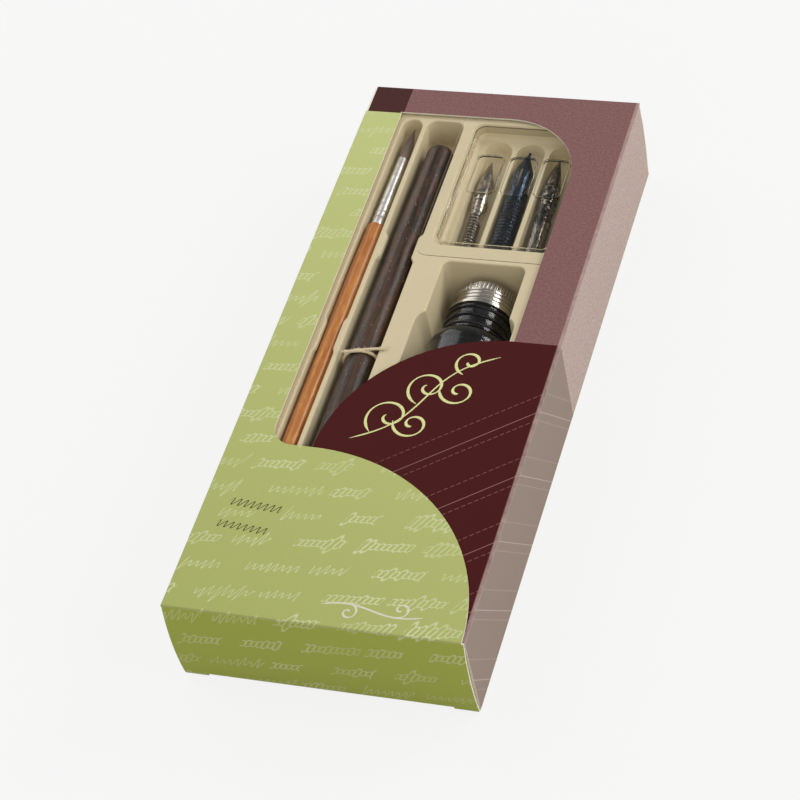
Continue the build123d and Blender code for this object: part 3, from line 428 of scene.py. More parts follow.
@dataclass(frozen=True)
class DrillBoard(Board):
    """Green print under rows of a paler pen drill: rolling ovals and waves that swell.

    Sizes are in millimetres on the unfolded print. The drill is written in groups,
    each of ovals or of waves, and a cloud says where its forms swell and where it fades.
    """

    row_pitch: float = 8.6
    row_shift: float = 6.3
    tilt: float = 0.075
    lean: float = 0.6
    group: float = 17.0
    group_least: float = 0.5
    group_luck: float = 0.42
    waved_groups: float = 0.42
    oval_pitch: float = 1.55
    oval_width: float = 0.92
    oval_height: float = 1.0
    oval_swell: float = 1.9
    wave_pitch: float = 1.9
    wave_height: float = 0.75
    wave_swell: float = 2.2
    swell_along: float = 0.3
    swell_across: float = 5.7
    pen: float = 0.1
    pen_edge: float = 0.12
    fading: float = 0.05
    paling: tuple[float, float] = (-110.0, 70.0)
    strength: float = 1.0
    near: Colour = GREEN
    far: Colour = GREEN_FAR

    def swell(self, recipe: Recipe, run: Value, row: Value) -> Value:
        """Returns how far the drill swells at a place along a row, from 0 to 1."""
        place = recipe.joined(run * self.swell_along, row * self.swell_across)
        return recipe.math("POWER", recipe.span(recipe.noise(place, 1.0, 1.0), 0.35, 0.7), 3.0)

    def ovals(self, recipe: Recipe, run: Value, height: Value, row: Value) -> Value:
        """Draws the rolling ovals, which overlap their neighbours.

        Args:
            recipe: The material that is written.
            run: Place along the row, in millimetres.
            height: Height above the row's middle, in millimetres.
            row: The row's number.

        Returns:
            The distance from the nearest oval's line, in millimetres.
        """
        m = recipe.math
        lines = []
        for shift in (-1.0, 0.0, 1.0):
            centre = (m("FLOOR", run / self.oval_pitch) + shift + 0.5) * self.oval_pitch
            tall = self.oval_height + self.swell(recipe, centre, row) * self.oval_swell
            x = (run - centre) / self.oval_width
            y = height / tall
            reach = m("SQRT", x * x + y * y)
            lines.append(m("ABSOLUTE", reach - 1.0) * self.oval_width)
        return recipe.gathered("MINIMUM", lines)

    def waves(self, recipe: Recipe, run: Value, height: Value, row: Value) -> Value:
        """Draws the push-and-pull waves.

        Args:
            recipe: The material that is written.
            run: Place along the row, in millimetres.
            height: Height above the row's middle, in millimetres.
            row: The row's number.

        Returns:
            The distance from the wave's line, in millimetres.
        """
        m = recipe.math
        size = self.wave_height + self.swell(recipe, run, row) * self.wave_swell
        pace = TURN / self.wave_pitch
        crest = size * m("SINE", run * pace)
        slope = size * pace * m("COSINE", run * pace)
        return m("ABSOLUTE", height - crest) / m("SQRT", 1.0 + slope * slope)

    def artwork(self, recipe: Recipe, u: Value, v: Value) -> Value:
        """Prints green, and the drill's strokes on it.

        Args:
            recipe: The material that is written.
            u: Place across the unfolded print, in millimetres.
            v: Place along the unfolded print, in millimetres.

        Returns:
            The print's colour.
        """
        m = recipe.math
        v = v - u * self.tilt
        row = m("FLOOR", v / self.row_pitch)
        height = v - row * self.row_pitch - 0.5 * self.row_pitch
        run = u - height * self.lean + row * self.row_shift
        place = run / self.group
        number = m("FLOOR", place)
        width = self.group_least + recipe.chance(number, row, 1.0) * self.group_luck
        written = recipe.span(width - m("FRACT", place), 0.0, 0.01)
        rolling = m("GREATER_THAN", recipe.chance(number, row, 2.0), self.waved_groups)
        away = (rolling * self.ovals(recipe, run, height, row)
                + (1.0 - rolling) * self.waves(recipe, run, height, row))
        stroke = recipe.span(away - self.pen, 0.0, self.pen_edge, 1.0, 0.0)
        cloud = recipe.noise(recipe.joined(u * self.fading, v * self.fading), 1.0, 1.0)
        faded = recipe.span(cloud, 0.3, 0.65, 0.45, 1.0)
        green = recipe.blend(recipe.span(v + u * 0.5, *self.paling), self.near, self.far)
        return recipe.blend(stroke * written * faded * self.strength, green, DRILL_GREEN)


@dataclass(frozen=True)
class RuledLine:
    """One line of a ruled group: how far below the group's first, how drawn, how strong."""

    drop: float
    dashed: bool
    strength: float


@dataclass(frozen=True)
class RuledBoard(Board):
    """Mauve print above a straight boundary and maroon with ruled groups below it.

    Sizes are in millimetres on the unfolded print. The dark corner lies left of
    corner_left and above corner_low.
    """

    boundary: float = 1.85
    corner_left: float = -28.5
    corner_low: float = 87.2
    slope: float = 0.77
    pitch: float = 22.0
    first: float = -46.15
    clear_above: float = 2.0
    dash: float = 2.3
    dash_gap: float = 0.34
    rule_edges: tuple[float, float] = (0.06, 0.19)
    group: tuple[RuledLine, ...] = (
        RuledLine(0.0, True, 0.55), RuledLine(6.5, False, 0.85), RuledLine(9.5, True, 0.55))
    weave_scale: float = 1500.0
    mauve: Colour = MAUVE
    maroon: Colour = MAROON
    rule: Colour = RULE_PINK
    corner: Colour = CORNER_MAROON

    def ruled(self, recipe: Recipe, u: Value, v: Value) -> Value:
        """Rules the slanting groups of lines, fainter to the left.

        Args:
            recipe: The material that is written.
            u: Place across the unfolded print, in millimetres.
            v: Place along the unfolded print, in millimetres.

        Returns:
            The lines' share of the print.
        """
        m = recipe.math
        level = v - u * self.slope - self.first
        run = u + v * self.slope
        dash = m("GREATER_THAN", m("FRACT", run / self.dash), self.dash_gap)
        lines = []
        for rule in self.group:
            place = (level + rule.drop) / self.pitch
            off = m("ABSOLUTE", place - m("ROUND", place)) * self.pitch
            line = recipe.span(off, *self.rule_edges, rule.strength, 0.0)
            lines.append(line * dash if rule.dashed else line)
        below = m("LESS_THAN", level, self.clear_above)
        return recipe.gathered("MAXIMUM", lines) * below * recipe.span(u, -20.0, 25.0, 0.55, 1.0)

    def artwork(self, recipe: Recipe, u: Value, v: Value) -> Value:
        """Prints the two fields, the dark corner and the ruled lines.

        Args:
            recipe: The material that is written.
            u: Place across the unfolded print, in millimetres.
            v: Place along the unfolded print, in millimetres.

        Returns:
            The print's colour.
        """
        m = recipe.math
        weave = recipe.span(recipe.noise(recipe.point(), self.weave_scale, 3.0), 0.32, 0.68)
        mauve = recipe.blend(weave, shaded(self.mauve, 0.82), shaded(self.mauve, 1.18))
        in_corner = (m("LESS_THAN", u, self.corner_left)
                     * m("GREATER_THAN", v, self.corner_low))
        upper = recipe.blend(in_corner, mauve, self.corner)
        lower = recipe.blend(self.ruled(recipe, u, v), self.maroon, self.rule)
        return recipe.blend(m("LESS_THAN", v, self.boundary), upper, lower)


@dataclass(frozen=True)
class StrokeInk(Finish):
    """Printing ink of one pen stroke."""

    colour: Colour
    grain_scale: float = 3000.0
    depth: float = 0.00002

    def write(self, recipe: Recipe) -> None:
        """Writes the ink with a fine grain.

        Args:
            recipe: The material that is written.
        """
        grain = recipe.noise(recipe.point(), self.grain_scale, 2.0)
        recipe.set(Base_Color=recipe.blend(grain, shaded(self.colour, 0.88), self.colour),
                   Roughness=0.45, Specular_IOR_Level=0.2)
        recipe.bump(grain, self.depth, 0.3)


@dataclass(frozen=True)
class FormedPlastic(Finish):
    """Vacuum-formed sheet or foam with a soft satin face."""

    colour: Colour
    cloud_scale: float = 55.0
    grain_scale: float = 2600.0
    depth: float = 0.00004

    def write(self, recipe: Recipe) -> None:
        """Writes the sheet, clouded and a little translucent.

        Args:
            recipe: The material that is written.
        """
        point = recipe.point()
        cloud = recipe.noise(point, self.cloud_scale, 3.0)
        grain = recipe.noise(point, self.grain_scale, 3.0)
        recipe.set(Base_Color=recipe.blend(cloud, shaded(self.colour, 0.95),
                                           shaded(self.colour, 1.04)),
                   Roughness=recipe.span(cloud, 0.3, 0.7, 0.46, 0.58), Specular_IOR_Level=0.3,
                   Subsurface_Weight=0.08, Subsurface_Radius=(0.002, 0.0015, 0.001),
                   Subsurface_Scale=1.0)
        recipe.bump(grain, self.depth, 0.25)


@dataclass(frozen=True)
class ClearSheet(Finish):
    """Clear formed sheet, with faint waves from its forming.

    lip is the height above which its upright faces are cut edges, in metres.
    """

    lip: float
    flat: Colour = (0.985, 0.99, 0.985)
    wall_shade: Colour = (0.74, 0.73, 0.69)
    edge_shade: Colour = (0.22, 0.21, 0.18)
    wave_scale: float = 110.0
    depth: float = 0.0001

    def write(self, recipe: Recipe) -> None:
        """Writes clear flats, with upright walls tinted grey and cut edges dark as painted shade of
        their refraction.

        Args:
            recipe: The material that is written.
        """
        point = recipe.point()
        waves = recipe.noise(point, self.wave_scale, 1.0)
        cut = recipe.math("GREATER_THAN", recipe.dot(point, UP), self.lip)
        steep = recipe.math("ABSOLUTE", recipe.dot(recipe.normal(), UP))
        # Upright walls and cut edges are tinted darker: painted shade for the dark lines that
        # refraction draws there.
        upright = recipe.span(steep, 0.2, 0.75, 1.0, 0.0)
        colour = recipe.blend(upright, self.flat, recipe.blend(cut, self.wall_shade, self.edge_shade))
        recipe.set(Base_Color=colour, Roughness=0.03, Transmission_Weight=1.0, IOR=1.2,
                   Specular_IOR_Level=0.3)
        recipe.bump(waves, self.depth, 0.06)
        recipe.let_lamps_through()


@dataclass(frozen=True)
class Metal(Finish):
    """Metal with drawing marks along the pens, cloudy tarnish, ribs and relief.

    Ribs lie below ribs_below and relief between its two places, in metres along
    the pens; rib_pitch is in millimetres, and 0 where there are none.
    """

    colour: Colour
    tarnish: Colour
    roughness: float = 0.3
    cloud_scale: float = 260.0
    marks: float = 0.3
    rib_pitch: float = 0.0
    ribs_below: float = 1.0
    rib_height: float = 2.0
    relief: tuple[float, float] | None = None
    relief_scale: float = 560.0
    relief_height: float = 4.0
    drawn: Direction = (4200, 160, 4200)
    depth: float = 0.00008
    hollow_darkness: float = 0.3

    def ribs(self, recipe: Recipe, along: Value) -> tuple[Value, Value]:
        """Works the ribs across a nib's stem.

        Args:
            recipe: The material that is written.
            along: Place along the pens, in metres.

        Returns:
            The ribs' height, and how much darker their grooves are drawn.
        """
        turn = recipe.math("SINE", along * (TURN / (self.rib_pitch * MM)))
        ribbed = recipe.span(along, self.ribs_below, self.ribs_below + MM, self.rib_height, 0.0)
        return turn * ribbed, recipe.span(turn, -0.8, 0.4, 0.4, 0.0) * ribbed

    def scrolls(self, recipe: Recipe, along: Value) -> tuple[Value, Value]:
        """Works the embossed relief of a nib's body.

        Args:
            recipe: The material that is written.
            along: Place along the pens, in metres.

        Returns:
            The relief's height, and how much darker its hollows are drawn.
        """
        low, high = self.relief
        cloud = recipe.noise(recipe.point(), self.relief_scale, 0.0, 0.8)
        raised = recipe.span(cloud, 0.43, 0.57)
        inside = (recipe.span(along, low, low + MM)
                  * recipe.span(along, high - MM, high, 1.0, 0.0))
        hollow = recipe.span(raised, 0.0, 1.0, 0.8, 0.0)
        return raised * inside * self.relief_height, inside * hollow

    def write(self, recipe: Recipe) -> None:
        """Writes the metal and the work on it.

        Args:
            recipe: The material that is written.
        """
        point = recipe.point()
        cloud = recipe.noise(point, self.cloud_scale, 4.0, 0.6)
        colour = recipe.blend(recipe.span(cloud, 0.35, 0.68), self.colour, self.tarnish)
        height = recipe.noise(point, self.drawn, 2.0) * self.marks
        along = recipe.dot(point, FAR)
        works = [self.ribs(recipe, along)] if self.rib_pitch else []
        if self.relief is not None:
            works.append(self.scrolls(recipe, along))
        # Grooves and hollows are drawn darker, towards a darkened tarnish colour.
        for raised, darkened in works:
            height = height + raised
            colour = recipe.blend(darkened, colour, shaded(self.tarnish, self.hollow_darkness))
        recipe.set(Base_Color=colour, Metallic=1.0,
                   Roughness=recipe.span(cloud, 0.3, 0.7, self.roughness * 0.75,
                                         self.roughness * 1.3))
        recipe.bump(height, self.depth, 0.9)


@dataclass(frozen=True)
class Wood(Finish):
    """Turned wood with its grain along the pens, stained or varnished."""

    light: Colour
    dark: Colour
    fleck: Colour
    roughness: float
    coat: float
    pores: float
    specks: Colour | None = None
    band_grain: Direction = (620, 26, 620)
    pore_grain: Direction = (3400, 240, 3400)
    fleck_grain: Direction = (760, 170, 760)
    speck_grain: Direction = (2300, 900, 2300)
    depth: float = 0.00008

    def write(self, recipe: Recipe) -> None:
        """Writes bands, flecks, pores and, where there are some, pale specks.

        Args:
            recipe: The material that is written.
        """
        point = recipe.point()
        bands = recipe.noise(point, self.band_grain, 5.0, 0.8)
        pores = recipe.noise(point, self.pore_grain, 3.0)
        flecks = recipe.noise(point, self.fleck_grain, 4.0, 0.4)
        colour = recipe.blend(recipe.span(bands, 0.32, 0.68), self.dark, self.light)
        colour = recipe.blend(recipe.span(flecks, 0.5, 0.68, 0.0, 0.7), colour, self.fleck)
        colour = recipe.blend(recipe.span(pores, 0.58, 0.72, 0.0, self.pores), colour,
                              shaded(self.dark, 0.45))
        if self.specks is not None:
            dust = recipe.noise(point, self.speck_grain, 2.0)
            colour = recipe.blend(recipe.span(dust, 0.69, 0.74, 0.0, 0.75), colour, self.specks)
        recipe.set(Base_Color=colour, Specular_IOR_Level=0.25, Coat_Weight=self.coat,
                   Coat_Roughness=0.22,
                   Roughness=recipe.span(pores, 0.3, 0.7, self.roughness * 0.8,
                                         self.roughness * 1.25))
        recipe.bump(1.0 - pores, self.depth, 0.5)


@dataclass(frozen=True)
class Strands(Finish):
    """Hair or twine fibre: lengthwise shades and a soft sheen.

    root and tip are its colours at from_y and to_y along the pens, in metres.
    """

    root: Colour
    tip: Colour
    from_y: float
    to_y: float
    roughness: float
    shade: float = 0.55
    strand_grain: Direction = (5200, 130, 5200)
    depth: float = 0.00003

    def write(self, recipe: Recipe) -> None:
        """Writes the strands.

        Args:
            recipe: The material that is written.
        """
        point = recipe.point()
        run = recipe.span(recipe.dot(point, FAR), self.from_y, self.to_y)
        shade = recipe.noise(point, self.strand_grain, 2.0)
        colour = recipe.blend(recipe.span(shade, 0.3, 0.7), shaded(self.root, self.shade),
                              recipe.blend(run, self.root, self.tip))
        recipe.set(Base_Color=colour, Roughness=self.roughness, Sheen_Weight=0.25,
                   Specular_IOR_Level=0.4)
        recipe.bump(shade, self.depth, 0.5)


@dataclass(frozen=True)
class BottleGlass(Finish):
    """Clear moulded glass with faint ripples."""

    tint: Colour = (0.1, 0.1, 0.115)
    ripple_scale: float = 240.0
    depth: float = 0.00003

    def write(self, recipe: Recipe) -> None:
        """Writes the glass.

        Args:
            recipe: The material that is written.
        """
        ripples = recipe.noise(recipe.point(), self.ripple_scale, 2.0)
        recipe.set(Base_Color=self.tint, Roughness=recipe.span(ripples, 0.3, 0.7, 0.08, 0.18),
                   Transmission_Weight=1.0, IOR=1.38)
        recipe.bump(ripples, self.depth, 0.1)
        recipe.let_lamps_through()


@dataclass(frozen=True)
class Ink(Finish):
    """Black ink that wets the glass."""

    dark: Colour = (0.004, 0.004, 0.006)
    pale: Colour = (0.012, 0.012, 0.016)

    def write(self, recipe: Recipe) -> None:
        """Writes the ink."""
        cloud = recipe.noise(recipe.point(), 120.0, 2.0)
        recipe.set(Base_Color=recipe.blend(cloud, self.dark, self.pale),
                   Roughness=recipe.span(cloud, 0.3, 0.7, 0.1, 0.2))


@dataclass(frozen=True)
class FloorPaint(Finish):
    """Pale floor that glows to the camera and in reflections, and keeps the shadow."""

    colour: Colour
    glow: float
    white: Colour = (1.0, 1.0, 1.0)

    def write(self, recipe: Recipe) -> None:
        """Writes the floor.

        Args:
            recipe: The material that is written.
        """
        clouds = recipe.noise(recipe.point(), 30.0, 2.0)
        recipe.set(Base_Color=recipe.blend(clouds, shaded(self.colour, 0.98), self.colour),
                   Roughness=0.8)
        seen = recipe.rays("Is Camera Ray", "Is Glossy Ray", "Is Transmission Ray")
        recipe.cover(seen * self.glow, recipe.add("ShaderNodeEmission", {"Color": self.white}))


def dress_nodes(nodes: Nodes, finishes: dict[str, Finish]) -> None:
    """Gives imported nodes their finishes, and makes each finish once.

    Args:
        nodes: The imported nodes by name.
        finishes: Each node's finish, by the node's name.
    """
    made: dict[str, bpy.types.Material] = {}
    for node, finish in finishes.items():
        if finish.name not in made:
            made[finish.name] = finish.material()
        materials = nodes[node].data.materials
        materials.clear()
        materials.append(made[finish.name])
        LOG.info("dressed %s in %s", node, finish.name)


# ---- mesh helpers ----
def as_piece(name: str, mesh: bpy.types.Mesh, finish: Finish, body: str) -> bpy.types.Object:
    """Makes a smooth, riding piece out of a mesh.

    Args:
        name: The piece's name.
        mesh: Its mesh, already in the part's frame.
        finish: Its finish.
        body: The body it rides on.

    Returns:
        The new piece.
    """
    piece = bpy.data.objects.new(name, mesh)
    bpy.context.scene.collection.objects.link(piece)
    mesh.materials.clear()
    mesh.materials.append(finish.material())
    for polygon in mesh.polygons:
        polygon.use_smooth = True
    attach(piece, body)
    LOG.info("made %s", name)
    return piece


def tubes_mesh(name: str, paths: list[Path], sides: int,
               squash: tuple[float, float] | None = None) -> bpy.types.Mesh:
    """Makes a mesh of closed round strokes that follow smooth paths.

    Args:
        name: The mesh's name.
        paths: One list of (point, radius) for each stroke, in metres.
        sides: Faces round each stroke.
        squash: A height and a thickness share, to flatten the strokes onto that height.

    Returns:
        The mesh, with its ends closed.
    """
    curve = bpy.data.curves.new(name, "CURVE")
    curve.dimensions = "3D"
    curve.bevel_depth = 1.0
    curve.bevel_resolution = max(0, sides // 2 - 2)
    curve.use_fill_caps = True
    curve.resolution_u = 1
    for path in paths:
        spline = curve.splines.new("POLY")
        spline.points.add(len(path) - 1)
        for place, (point, radius) in zip(spline.points, path):
            place.co = (*point, 1.0)
            place.radius = radius
    holder = bpy.data.objects.new(name + "_path", curve)
    mesh = bpy.data.meshes.new_from_object(holder)
    bpy.data.objects.remove(holder)
    mesh.name = name
    if squash is not None:
        height, share = squash
        for vertex in mesh.vertices:
            vertex.co.z = height + (vertex.co.z - height) * share
    shape = bmesh.new()
    shape.from_mesh(mesh)
    bmesh.ops.remove_doubles(shape, verts=shape.verts, dist=1e-7)
    bmesh.ops.recalc_face_normals(shape, faces=shape.faces)
    shape.to_mesh(mesh)
    shape.free()
    return mesh


# ---- carton ----
class Motif(Enum):
    """What a printed pen stroke draws."""

    SWEEP = "one long shallow double curve from start to end"
    CURL = "a spiral that leaves start and closes on end"
    RIPPLE = "a leaning wave from start to end"


@dataclass(frozen=True)
class PenStroke:
    """A broad-nib stroke printed on a panel, from start to end, in millimetres.

    turns counts a curl's turns, positive anticlockwise, or a wave's crests, and
    bow is how far a sweep or a wave leaves its line. The panel's face is in metres.
    """

    name: str
    motif: Motif
    start: tuple[float, float]
    end: tuple[float, float]
    turns: float
    bow: float
    pen: float
    hairline: float
    face: float
    colour: Colour
    slot: str
    points: int = 48
    lean: float = 0.55
    wound: float = 0.86
    winding: float = 0.85
    nib: tuple[float, float] = (-0.7, 0.7)
    contrast: float = 1.5
    tapering: float = 14.0
    blunt: float = 0.2
    sides: int = 8
    film: float = 0.07

    def spot(self, share: float) -> Vector:
        """Follows the pen.

        Args:
            share: How much of the stroke is written.

        Returns:
            The pen's place, in millimetres.
        """
        start, end = Vector(self.start), Vector(self.end)
        if self.motif is Motif.CURL:
            arm = (start - end) * (1.0 - self.wound * share ** self.winding)
            return end + Matrix.Rotation(TURN * self.turns * share, 2) @ arm
        way = (end - start).normalized()
        across = Vector((-way.y, way.x))
        crests = 1.0 if self.motif is Motif.SWEEP else self.turns
        rise = self.bow * math.sin(TURN * crests * share)
        slip = self.lean * rise if self.motif is Motif.RIPPLE else 0.0
        return start.lerp(end, share) + across * rise + way * slip

    def drawn(self) -> bpy.types.Object:
        """Writes the stroke as a thin film on its panel.

        Returns:
            The printed stroke.
        """
        count = math.ceil(self.points * max(1.0, abs(self.turns)))
        spots = [self.spot(step / count) for step in range(count + 1)]
        nib = Vector(self.nib)
        path = []
        for place, spot in enumerate(spots):
            ahead = spots[min(place + 1, count)] - spots[max(place - 1, 0)]
            broad = abs(ahead.normalized().dot(nib))
            share = place / count
            taper = min(1.0, self.tapering * share + self.blunt,
                        self.tapering * (1.0 - share) + self.blunt)
            width = self.hairline + (self.pen - self.hairline) * broad ** self.contrast
            path.append((Vector((spot.x * MM, spot.y * MM, self.face)), width * taper * MM))
        mesh = tubes_mesh(self.name, [path], self.sides, (self.face, self.film))
        return as_piece(self.name, mesh, StrokeInk(self.name + "_ink", self.colour), "pack")


@dataclass
class Carton:
    """The creased board panels and what is printed on them, in metres."""

    half_width: float = 0.0401
    half_length: float = 0.09865
    front: float = 0.0285
    window_face: float = 0.028
    fold: float = 0.0005
    plain: tuple[str, ...] = (
        "bottom_tuck_tab", "top_tuck_tab", "dust_flap_bottom_left", "dust_flap_bottom_right",
        "dust_flap_top_left", "dust_flap_top_right")

    def strokes(self) -> tuple[PenStroke, ...]:
        """Lists the printed pen strokes, each group with its pen, panel and colour.

        Returns:
            The strokes.
        """
        low, high = self.window_face, self.front
        scroll = (0.46, 0.2, low, STROKE_GREEN, "board_window")
        wave = (0.2, 0.1, high, STROKE_BROWN, "board_overlay")
        swash = (0.36, 0.16, high, STROKE_CREAM, "board_overlay")
        return (
            PenStroke("scroll_stem", Motif.SWEEP, (-8.0, -37.4), (25.0, -4.2), 1.0, -2.6, *scroll),
            PenStroke("scroll_curl_a", Motif.CURL, (-3.2, -34.6), (0.6, -28.6), -1.25, 0.0, *scroll),
            PenStroke("scroll_curl_b", Motif.CURL, (2.0, -29.8), (7.4, -30.4), 1.3, 0.0, *scroll),
            PenStroke("scroll_curl_c", Motif.CURL, (6.6, -23.4), (8.4, -17.2), -1.35, 0.0, *scroll),
            PenStroke("scroll_curl_d", Motif.CURL, (11.4, -16.8), (16.8, -17.6), 1.3, 0.0, *scroll),
            PenStroke("scroll_curl_e", Motif.CURL, (16.4, -11.6), (17.4, -7.0), -1.2, 0.0, *scroll),
            PenStroke("wave_upper", Motif.RIPPLE, (-33.0, -62.9), (-18.0, -64.2), 8.0, 1.1, *wave),
            PenStroke("wave_lower", Motif.RIPPLE, (-34.4, -70.4), (-19.5, -71.7), 8.0, 1.0, *wave),
            PenStroke("swash_stem", Motif.SWEEP, (1.0, -92.0), (28.0, -92.6), 1.0, 1.1, *swash),
            PenStroke("swash_curl_a", Motif.CURL, (7.4, -91.0), (8.6, -93.6), -1.2, 0.0, *swash),
            PenStroke("swash_curl_b", Motif.CURL, (20.6, -93.3), (21.8, -90.9), 1.2, 0.0, *swash),
        )

    def finishes(self) -> dict[str, Board]:
        """Lists the panels' finishes.

        Returns:
            Each panel's finish, by its node's name.
        """
        width, length = self.half_width, self.half_length
        left, right = (PrintedFace(side, width - self.fold) for side in (LEFT, RIGHT))
        near, far = (PrintedFace(end, length - self.fold) for end in (NEAR, FAR))
        return {
            "front_overlay_panel": DrillBoard("overlay_print", (PrintedFace(UP), left, near)),
            "left_side_panel": DrillBoard(
                "left_print", (PrintedFace(LEFT),), across=(UP, -(width + self.front))),
            "bottom_closure": DrillBoard(
                "bottom_print", (PrintedFace(NEAR),), along=(UP, -(length + self.front)),
                strength=0.7, near=GREEN_END, far=GREEN_END),
            "back_panel": DrillBoard(
                "back_print", (PrintedFace(DOWN), left, right), strength=0.6),
            # The window panel's right fold and the right side's top fold are worn and painted paler
            # as a highlight.
            "window_panel": RuledBoard(
                "window_print", (PrintedFace(UP), right, far), (WornHighlitFold(RIGHT, width),)),
            # The right side's paler print colours are a painted sheen reflection.
            "right_side_panel": RuledBoard(
                "right_print", (PrintedFace(RIGHT),), (WornHighlitFold(UP, self.window_face),),
                (DOWN, width + self.window_face),
                mauve=SHEEN_PALED_MAUVE, maroon=SHEEN_PALED_MAROON, rule=SHEEN_PALED_RULE),
            "top_closure": RuledBoard(
                "top_print", (PrintedFace(FAR),), along=(DOWN, length + self.window_face)),
            **dict.fromkeys(self.plain, Board("board_raw")),
        }

    def dress(self, nodes: Nodes) -> None:
        """Finishes every panel and prints the strokes."""
        dress_nodes(nodes, self.finishes())
        for stroke in self.strokes():
            stroke.drawn()


# ---- tray and cover ----
@dataclass
class TrayAndCover:
    """The formed tray and the clear cover over the nibs."""

    tray_colour: Colour = srgb(213, 198, 162)
    cut_edge: float = 0.4

    def dress(self, nodes: Nodes) -> None:
        """Finishes both sheets."""
        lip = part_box("nib_cover")[1].z - self.cut_edge * MM
        dress_nodes(nodes, {"tray": FormedPlastic("tray_sheet", self.tray_colour),
                            "nib_cover": ClearSheet("clear_sheet", lip)})


# ---- nibs ----
@dataclass
class Nibs:
    """The three nibs and the raised work on them: pitches in millimetres, and shares."""

    waisted_rib_pitch: float = 1.15
    waisted_ribbed: float = 0.4
    broad_rib_pitch: float = 1.25
    broad_ribbed: float = 0.5
    relief_from: float = 0.3
    relief_to: float = 0.72

    def along(self, node: str, share: float) -> float:
        """Returns the place at a share of a nib's length from its low end, in metres."""
        low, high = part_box(node)
        return low.y + (high.y - low.y) * share

    def dress(self, nodes: Nodes) -> None:
        """Finishes the nibs.

        Args:
            nodes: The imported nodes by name.
        """
        dress_nodes(nodes, {
            "nib_waisted": Metal(
                "bronzed_steel", srgb(176, 167, 155), srgb(78, 70, 62), 0.2, 900.0,
                rib_pitch=self.waisted_rib_pitch,
                ribs_below=self.along("nib_waisted", self.waisted_ribbed)),
            "nib_broad": Metal(
                "blued_steel", srgb(68, 78, 94), srgb(12, 15, 21), 0.16, 900.0,
                rib_pitch=self.broad_rib_pitch,
                ribs_below=self.along("nib_broad", self.broad_ribbed)),
            "nib_embossed": Metal(
                "dark_steel", srgb(132, 123, 112), srgb(40, 36, 32), 0.2, 1100.0,
                relief=(self.along("nib_embossed", self.relief_from),
                        self.along("nib_embossed", self.relief_to))),
        })


# ---- pen holder ----
@dataclass
class PenHolder:
    """The dark barrel and its socket."""

    barrel: Wood = Wood("stained_barrel", srgb(84, 63, 47), srgb(24, 17, 12), srgb(92, 52, 32),
                        roughness=0.42, coat=0.08, pores=0.8, specks=srgb(186, 160, 124))
    socket: Metal = Metal("socket_steel", srgb(190, 190, 188), srgb(140, 138, 134))

    def dress(self, nodes: Nodes) -> None:
        """Finishes the barrel and the socket."""
        dress_nodes(nodes, {"pen_holder_barrel": self.barrel, "pen_holder_socket": self.socket})


# ---- brush ----
@dataclass
class Brush:
    """Varnished handle, bright ferrule and pointed hair.

    The hairs start a share of their length, tucked, inside the ferrule's mouth.
    root_gap and thickness are in millimetres.
    """

    handle: Wood = Wood("varnished_handle", srgb(196, 126, 54), srgb(164, 92, 26),
                        srgb(206, 138, 60), roughness=0.34, coat=0.3, pores=0.2)
    ferrule: Metal = Metal("ferrule_nickel", srgb(226, 223, 218), srgb(184, 180, 176), 0.42,
                           cloud_scale=300.0, marks=0.02)
    hair_root: Colour = srgb(176, 148, 126)
    hair_tip: Colour = srgb(112, 92, 78)
    strands: int = 900
    steps: int = 7
    sides: int = 4
    swell: float = 1.28
    root_gap: float = 0.03
    tucked: float = 0.06
    outer_short: float = 0.28
    ragged: float = 0.05
    drift: float = 0.12
    fullness: float = 1.9
    closing: float = 0.97
    thickness: float = 0.04
    thinning: float = 0.85
    seed: int = 7

    def spread(self, belly: float) -> float:
        """Returns how far a hair stands from the middle, as a share of its root's."""
        swollen = 1.0 + self.fullness * belly * (1.0 - belly) ** 1.2
        return swollen * (1.0 - belly ** 2.1 * self.closing)

    def hair(self) -> bpy.types.Object:
        """Lays tapered hairs that swell to a belly and close to a point.

        Returns:
            The hair piece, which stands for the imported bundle.
        """
        low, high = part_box("brush_hair")
        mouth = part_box("brush_ferrule")[1].y
        middle = (low + high) / 2
        root_radius = (high.x - low.x) / 2 / self.swell - self.root_gap * MM
        length = high.y - mouth
        chance = random.Random(self.seed)
        paths = []
        for index in range(self.strands):
            share = (index + 0.5) / self.strands
            angle = index * math.pi * (3.0 - math.sqrt(5.0))
            bundle = root_radius * math.sqrt(share)
            short = self.outer_short * share ** 1.5
            reach = length * (1.0 - short - self.ragged * chance.random())
            drift = chance.uniform(-self.drift, self.drift)
            path = []
            for step in range(self.steps + 1):
                along = -self.tucked + (reach / length + self.tucked) * step / self.steps
                belly = max(0.0, along)
                aside = bundle * self.spread(belly)
                turn = angle + drift * belly
                spot = Vector((middle.x + aside * math.cos(turn), mouth + along * length,
                               middle.z + aside * math.sin(turn)))
                thin = 1.0 - self.thinning * step / self.steps
                path.append((spot, self.thickness * MM * thin))
            paths.append(path)
        mesh = tubes_mesh("brush_hairs", paths, self.sides)
        finish = Strands("brush_hair", self.hair_root, self.hair_tip, mouth, high.y, 0.45)
        piece = as_piece("brush_hairs", mesh, finish, "pack")
        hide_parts("brush_hair")
        return piece

    def dress(self, nodes: Nodes) -> None:
        """Finishes the handle and ferrule and lays the hair."""
        dress_nodes(nodes, {"brush_handle": self.handle, "brush_ferrule": self.ferrule})
        self.hair()


